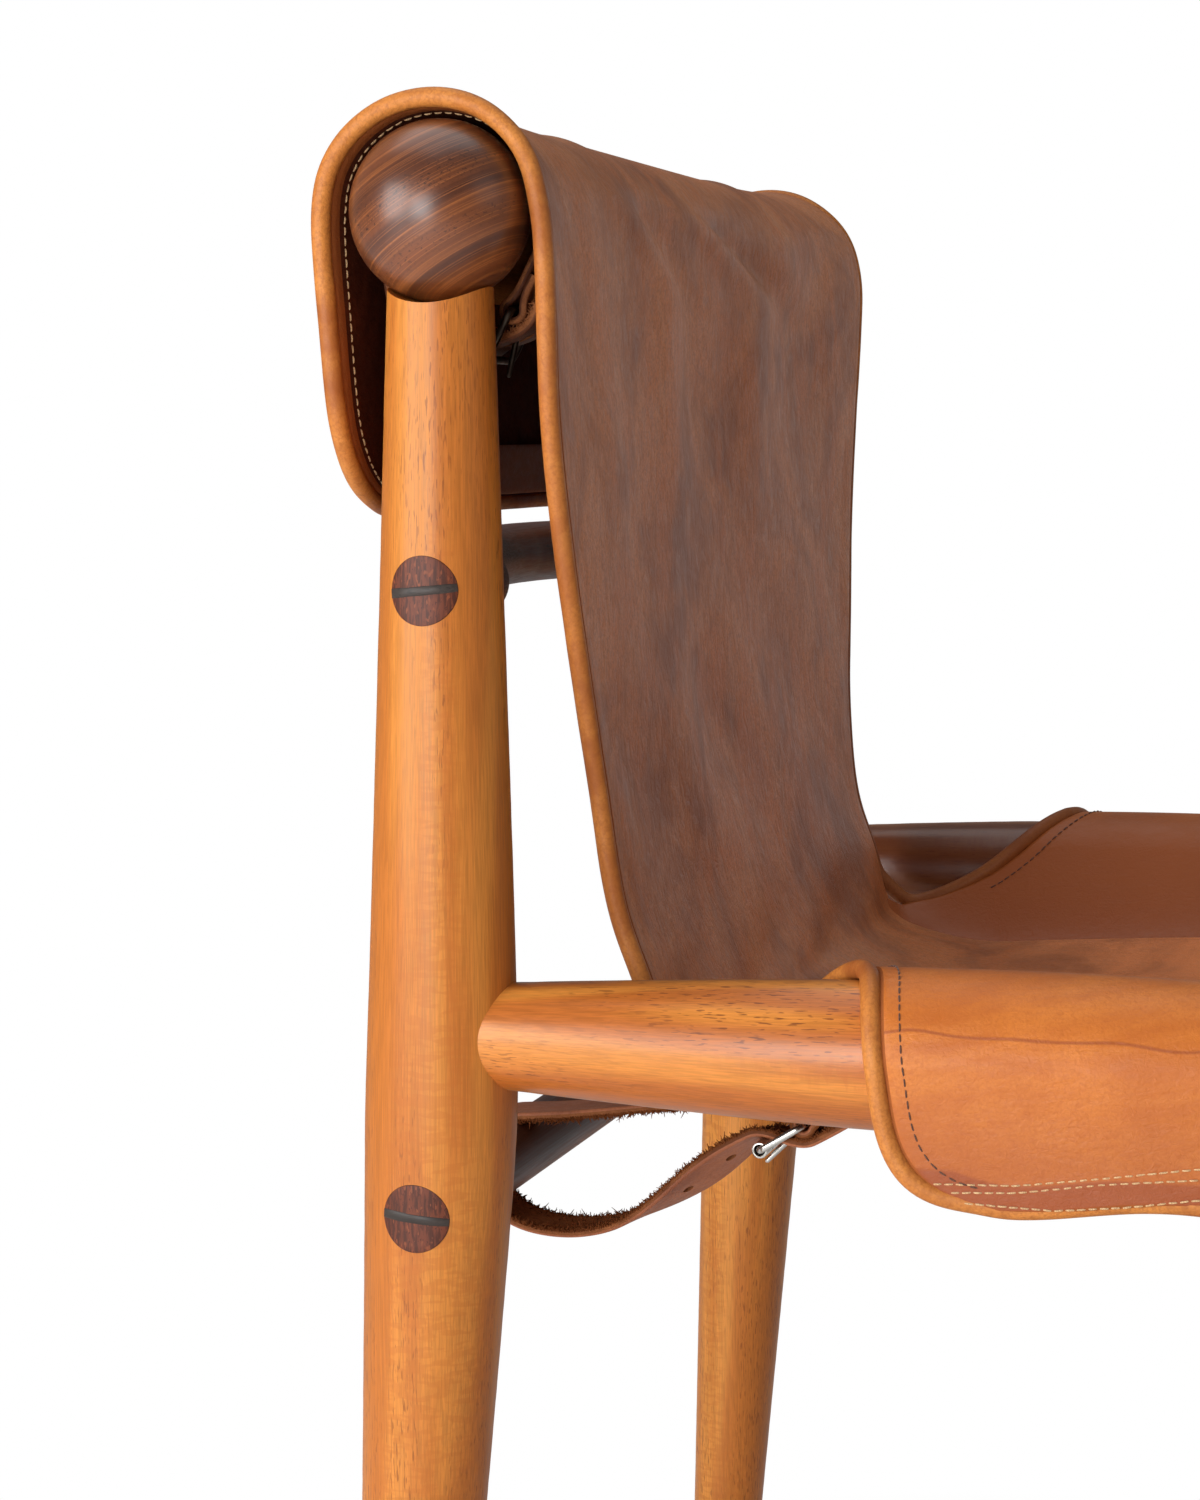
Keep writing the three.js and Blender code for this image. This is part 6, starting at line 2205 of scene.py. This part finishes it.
    def fuzz(self, mould: Mould, place: BeltPlace, body: Sequence[Array], count: int) -> None:
        """Stands loose fibres along the edges of a strap's flesh side.

        Args:
            mould: Where they go.
            place: Where the belt's plane stands.
            body: The flesh side's points and the other side's.
            count: How many.
        """
        rng = np.random.default_rng(count + len(body[0]))
        rows, columns = body[0].shape[:2]
        for _ in range(count):
            i, left = int(rng.integers(1, rows - 1)), bool(rng.integers(2))
            j = int(rng.integers(0, 5)) if rng.random() < 0.8 else int(rng.integers(0, columns // 2))
            j = j if left else columns - 1 - j
            at = body[0][i, j]
            normal = unit(at - body[1][i, j])
            across = unit(body[0][i, 0] - body[0][i, -1]) * (1 if left else -1)
            along = unit(body[0][i + 1, j] - body[0][i - 1, j])
            lean = unit(normal * rng.uniform(0.2, 1) + across * rng.uniform(0, 0.9) + along * rng.uniform(-0.8, 0.8))
            length = self.fibre_length * rng.uniform(0.35, 1) * (2.2 if rng.random() < 0.04 else 1)
            bend = unit(rng.normal(size=3)) * length
            path = np.array([
                at - lean * 0.3 * MM, at + lean * 0.35 * length + bend * 0.1, at + lean * 0.7 * length + bend * 0.3,
                at + lean * length + bend * 0.5,
            ])
            points, faces = tube(path, np.array([0.24, 0.22, 0.17, 0.08]) * MM, 5, normal + 0.3 * across)
            mould.add(place.world(points), faces, 1, 0)

    @staticmethod
    def looks(route: BeltRoute) -> tuple[Look, Look, Look]:
        """A strap's finishes: its grain side, its flesh side and its edges."""
        # the back belts take the darker copy of the belt leather: painted shade inside the hood
        if route.kind == "back":
            return Look.BACK_BELT, Look.BELT_EDGE, Look.BELT_EDGE
        return Look.BELT, Look.BELT_FLESH, Look.BELT_EDGE

    def long_strap(self, route: BeltRoute) -> None:
        """Shapes the strap that runs through the buckle."""
        name = f"{route.kind}_strap_{route.end}"
        mould = self.start(Plan(name, self.looks(route), "belt_leather", (name,)))
        through = route.axes.plane(
            MM * np.array([25.4, 16.8, 4.8, -5.4, -route.tail / MM]), MM * np.array([-5.25, -5.25, 7.45, 7.75, 7.75])
        )
        path = spaced(softened(np.concatenate([np.array(route.long), through]), 3), self.step)
        run = run_along(path)
        target = route.axes.plane(9.2 * MM, 2.8 * MM)
        middle = run[int(np.argmin(np.linalg.norm(path - target, axis=1)))]
        holes = [Hole(middle, 6.2 * MM, 2.2 * MM)] + [Hole(middle + d, 2.3 * MM, 2.3 * MM) for d in route.spare_holes]
        twist = None
        if route.twist:
            low = run[-1] - self.twist_from_end
            twist = route.twist * bell(run, low, self.twist_length)
        self.strap(mould, route, path, self.thickness, holes, twist, True, FIBRES[route.kind])

    def short_strap(self, route: BeltRoute) -> None:
        """Shapes the strap that is folded round the buckle's bar."""
        name = f"{route.kind}_buckle_strap_{route.end}"
        mould = self.start(Plan(name, self.looks(route), "belt_leather", (name,)))
        radius = self.bore + 0.25 * MM + self.fold_thickness / 2
        turn = np.radians(np.linspace(135, -135, 41))
        ends = np.array([self.fold_length, 7 * MM])
        outer = route.axes.plane(-ends, np.array([1.0, 1.0]) * (self.fold_thickness / 2 + 0.03 * MM))
        arc = route.axes.plane(radius * np.cos(turn), radius * np.sin(turn))
        inner = route.axes.plane(-ends[::-1], -np.array([1.0, 1.0]) * (self.fold_thickness / 2 + 0.03 * MM))
        path = np.concatenate([outer, arc, inner, np.array(route.short)])
        path = spaced(softened(path, 2), self.step / 2)
        run = run_along(path)
        keep = spaced(path, self.step)
        front = route.axes.plane(radius, 0)
        middle = run[int(np.argmin(np.linalg.norm(path - front, axis=1)))]
        self.strap(mould, route, keep, self.fold_thickness, [Hole(middle, 8.2 * MM, 2.7 * MM)])

    def metal(self, route: BeltRoute, part: str, own_body: bool) -> tuple[Mould, Callable[[Array], Array]]:
        """Starts one metal part.

        Args:
            route: Its belt.
            part: Its word in the node's name.
            own_body: Whether it moves by itself.

        Returns:
            Its mould, and what turns the buckle's points into the chair's frame.
        """
        name = f"{route.kind}_buckle_{part}_{route.end}"
        # the back belts' buckles take a darker, rougher nickel
        look = Look.DULL_NICKEL if route.kind == "back" else Look.NICKEL
        mould = self.lone(name, look, "nickel", name if own_body else BODY)
        return mould, lambda points: route.place.world(route.axes.solid(points))

    def frame(self, route: BeltRoute) -> None:
        """Shapes a buckle's frame, a bent wire."""
        mould, world = self.metal(route, "frame", False)
        r, x, y = self.corner, self.buckle_half, self.buckle_length
        corners = ((x - r, y - r, 0), (r - x, y - r, 90), (r - x, r, 180), (x - r, r, 270))
        loop = np.array([
            (cx + r * math.cos(math.radians(start + d)), cy + r * math.sin(math.radians(start + d)), 0.0)
            for cx, cy, start in corners for d in np.linspace(0, 90, 10)
        ])
        sides = 20
        angles = circle(sides)
        tangent = unit(np.roll(loop, -1, axis=0) - np.roll(loop, 1, axis=0))
        out = np.cross(tangent, (0, 0, 1.0))
        c, s = np.cos(angles), np.sin(angles)
        round_c, round_s = np.sign(c) * np.abs(c) ** 0.8, np.sign(s) * np.abs(s) ** 0.8
        rings = loop[:, None] + self.wire * (out[:, None] * round_c[None, :, None] + UP * round_s[None, :, None])
        faces = [(a, d, c, b) for a, b, c, d in grid_faces(len(loop), sides, True, closed=True)]
        mould.add(world(rings.reshape(-1, 3)), faces)

    @staticmethod
    def revolved(profile: Array, along: float, sides: int = 40) -> tuple[Array, Faces]:
        """A ring-shaped body: a closed outline of (across, radius) turned about the bar at a place along the buckle.

        Args:
            profile: The outline, clockwise with across to the right.
            along: Where the bar is.
            sides: Points round it.

        Returns:
            Points and faces.
        """
        angles = circle(sides)
        x = np.repeat(profile[None, :, 0], sides, axis=0)
        r = profile[None, :, 1]
        points = np.stack([x, along + r * np.cos(angles)[:, None], r * np.sin(angles)[:, None]], axis=-1)
        faces = grid_faces(sides, len(profile), True, closed=True)
        return points.reshape(-1, 3), faces

    def ring_outline(self, half: float, inner: float, outer: float, bevel: float) -> Array:
        """The outline of a ring with softened edges."""
        return np.array([
            (-half, inner + bevel / 2), (-half, outer - bevel), (-half + bevel * 0.3, outer - bevel * 0.3),
            (-half + bevel, outer), (half - bevel, outer), (half - bevel * 0.3, outer - bevel * 0.3),
            (half, outer - bevel), (half, inner + bevel / 2), (half - bevel / 2, inner), (-half + bevel / 2, inner),
        ])

    def roller(self, route: BeltRoute) -> None:
        """Shapes the roller on the far bar."""
        mould, world = self.metal(route, "roller", True)
        outline = self.ring_outline(self.roller_half, self.bore, self.roller_radius, 0.5 * MM)
        points, faces = self.revolved(outline, self.buckle_length)
        mould.add(world(points), faces)

    def prong(self, route: BeltRoute) -> None:
        """Shapes the prong, its eye round the hinge bar and its tip on the far bar."""
        mould, world = self.metal(route, "prong", True)
        points, faces = self.revolved(self.ring_outline(self.eye_width / 2, self.bore, self.eye_radius, 0.6 * MM), 0)
        mould.add(world(points), faces)
        lean = math.asin((self.roller_radius + 0.3 * MM + self.prong_radius) / self.buckle_length)
        run = np.linspace(3.0 * MM, self.prong_reach, 30)
        line = xyz(0, run * math.cos(lean), run * math.sin(lean))
        path, radii = domed(line, self.prong_radius * 0.97)
        radii = radii * (1 - 0.16 * ease(path[:, 1], 14 * MM, self.prong_reach))
        pin, pin_faces = tube(path, radii, 18, (1, 0, 0))
        mould.add(world(pin), pin_faces)


@dataclass(frozen=True)
class Lamp:
    """A soft light."""

    name: str
    place: tuple[float, float, float]
    aim: tuple[float, float, float]
    width: float
    height: float
    power: float


@dataclass
class Studio:
    """The photograph's camera, a pale floor and soft light."""

    camera_place: tuple[float, float, float] = (-1.4261, -0.3976, 0.6471)
    forward: tuple[float, float, float] = (0.95655, 0.27584, -0.09456)
    focal_pixels: float = 3390
    long_side_pixels: float = 1500
    sensor: float = 36
    floor_size: float = 40
    floor_colour: float = 0.95
    floor_fade: tuple[float, float] = (0.34, 0.6)
    world_strength: float = 0.16
    lamps: tuple[Lamp, ...] = (
        Lamp("key", (-1.9, 1.4, 1.0), (-0.1, -0.1, 0.5), 1.2, 1.4, 34),
        Lamp("front", (-2.6, 0.25, 0.78), (0, -0.15, 0.45), 1.0, 1.1, 31),
        Lamp("backdrop", (2.0, -0.8, 0.8), (0, -0.1, 0.5), 1.6, 1.0, 2.0),
        Lamp("sitter", (-0.6, -2.4, 1.6), (0, 0, 0.5), 1.6, 1.4, 4),
        Lamp("top", (0.2, 0.2, 2.6), (0, -0.1, 0.4), 2.0, 2.0, 16),
    )

    def camera(self) -> None:
        """Places the camera where the photograph was taken."""
        data = bpy.data.cameras.new("camera")
        data.sensor_width = self.sensor
        data.lens = self.focal_pixels * self.sensor / self.long_side_pixels
        data.clip_start, data.clip_end = 0.05, 100
        camera = bpy.data.objects.new("camera", data)
        camera.location = Vector(self.camera_place) + Vector((0, AXIS_Y, 0))
        camera.rotation_mode = "QUATERNION"
        camera.rotation_quaternion = Vector(self.forward).to_track_quat("-Z", "Y")
        bpy.context.scene.collection.objects.link(camera)
        bpy.context.scene.camera = camera

    def floor(self) -> None:
        """Lays a plain pale floor."""
        half = self.floor_size / 2
        mesh = bpy.data.meshes.new("floor")
        mesh.from_pydata([(-half, -half, 0), (half, -half, 0), (half, half, 0), (-half, half, 0)], [], [(0, 1, 2, 3)])
        shader = Shader("floor")
        shader.constant(Base_Color=(self.floor_colour,) * 3 + (1,), Roughness=0.9, Specular_IOR_Level=0.1)
        away = shader.nodes.new("ShaderNodeVectorMath")
        away.operation = "LENGTH"
        shader.links.new(shader.place, away.inputs[0])
        rays = shader.nodes.new("ShaderNodeLightPath")
        white = shader.nodes.new("ShaderNodeEmission")
        blend = shader.nodes.new("ShaderNodeMixShader")
        far = shader.span(away.outputs["Value"], *self.floor_fade)
        shader.links.new(shader.times(far, rays.outputs["Is Camera Ray"]), blend.inputs[0])
        shader.links.new(shader.surface.outputs[0], blend.inputs[1])
        shader.links.new(white.outputs[0], blend.inputs[2])
        shader.links.new(blend.outputs[0], shader.nodes["Material Output"].inputs["Surface"])
        mesh.materials.append(shader.material)
        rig.stage(placed("floor", mesh))

    def world(self) -> None:
        """Lights from all round, with a white background for the camera."""
        world = bpy.data.worlds.new("studio")
        world.use_nodes = True
        nodes, links = world.node_tree.nodes, world.node_tree.links
        back = nodes["Background"]
        back.inputs["Color"].default_value = (1, 1, 1, 1)
        rays = nodes.new("ShaderNodeLightPath")
        total = None
        for key in ("Is Camera Ray", "Is Transmission Ray"):
            if total is None:
                total = rays.outputs[key]
                continue
            add = nodes.new("ShaderNodeMath")
            add.operation = "MAXIMUM"
            links.new(total, add.inputs[0])
            links.new(rays.outputs[key], add.inputs[1])
            total = add.outputs["Value"]
        strength = nodes.new("ShaderNodeMapRange")
        links.new(total, strength.inputs["Value"])
        strength.inputs["To Min"].default_value = self.world_strength
        strength.inputs["To Max"].default_value = 1.0
        links.new(strength.outputs["Result"], back.inputs["Strength"])
        bpy.context.scene.world = world

    def light(self) -> None:
        """Hangs the lamps."""
        for lamp in self.lamps:
            data = bpy.data.lights.new(lamp.name, "AREA")
            data.shape = "RECTANGLE"
            data.size, data.size_y, data.energy = lamp.width, lamp.height, lamp.power
            made = placed(lamp.name, data)
            made.visible_camera = False
            made.location = Vector(lamp.place) + Vector((0, AXIS_Y, 0))
            made.rotation_mode = "QUATERNION"
            made.rotation_quaternion = (Vector(lamp.aim) - Vector(lamp.place)).to_track_quat("-Z", "Y")

    def build(self) -> None:
        """Makes the camera, floor, world and lamps, and sets how colours are shown."""
        self.camera()
        self.floor()
        self.world()
        self.light()
        bpy.context.scene.view_settings.view_transform = "Standard"


@dataclass
class Sizes:
    """The object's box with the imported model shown, and with the scene's own pieces."""

    path: str = "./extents.json"

    def write(self) -> None:
        """Writes both boxes to a file."""
        boxes = {"cad": CAD_BOX, "scene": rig.bounds()}
        lists = {name: [[round(v, 5) for v in corner] for corner in box] for name, box in boxes.items()}
        with open(self.path, "w", encoding="utf-8") as file:
            json.dump(lists, file)
        LOG.info("%s", lists)


def main() -> None:
    """Builds and dresses the whole chair, then the studio."""
    Studio().build()
    palette = Palette()
    sling = Sling()
    flaps = Flaps(sling=sling)
    assemblies = (
        Legs(), Rails(), Crosspieces(), sling, flaps, Piping(sling=sling, flaps=flaps),
        Stitching(sling=sling, flaps=flaps), Belts(flaps=flaps),
    )
    for assembly in assemblies:
        assembly.build()
        made = assembly.dress(palette)
        LOG.info("%s: %d pieces", type(assembly).__name__, len(made))
    Sizes().write()


if __name__ == "__main__":
    logging.basicConfig(level=logging.INFO, format="%(message)s")
    main()
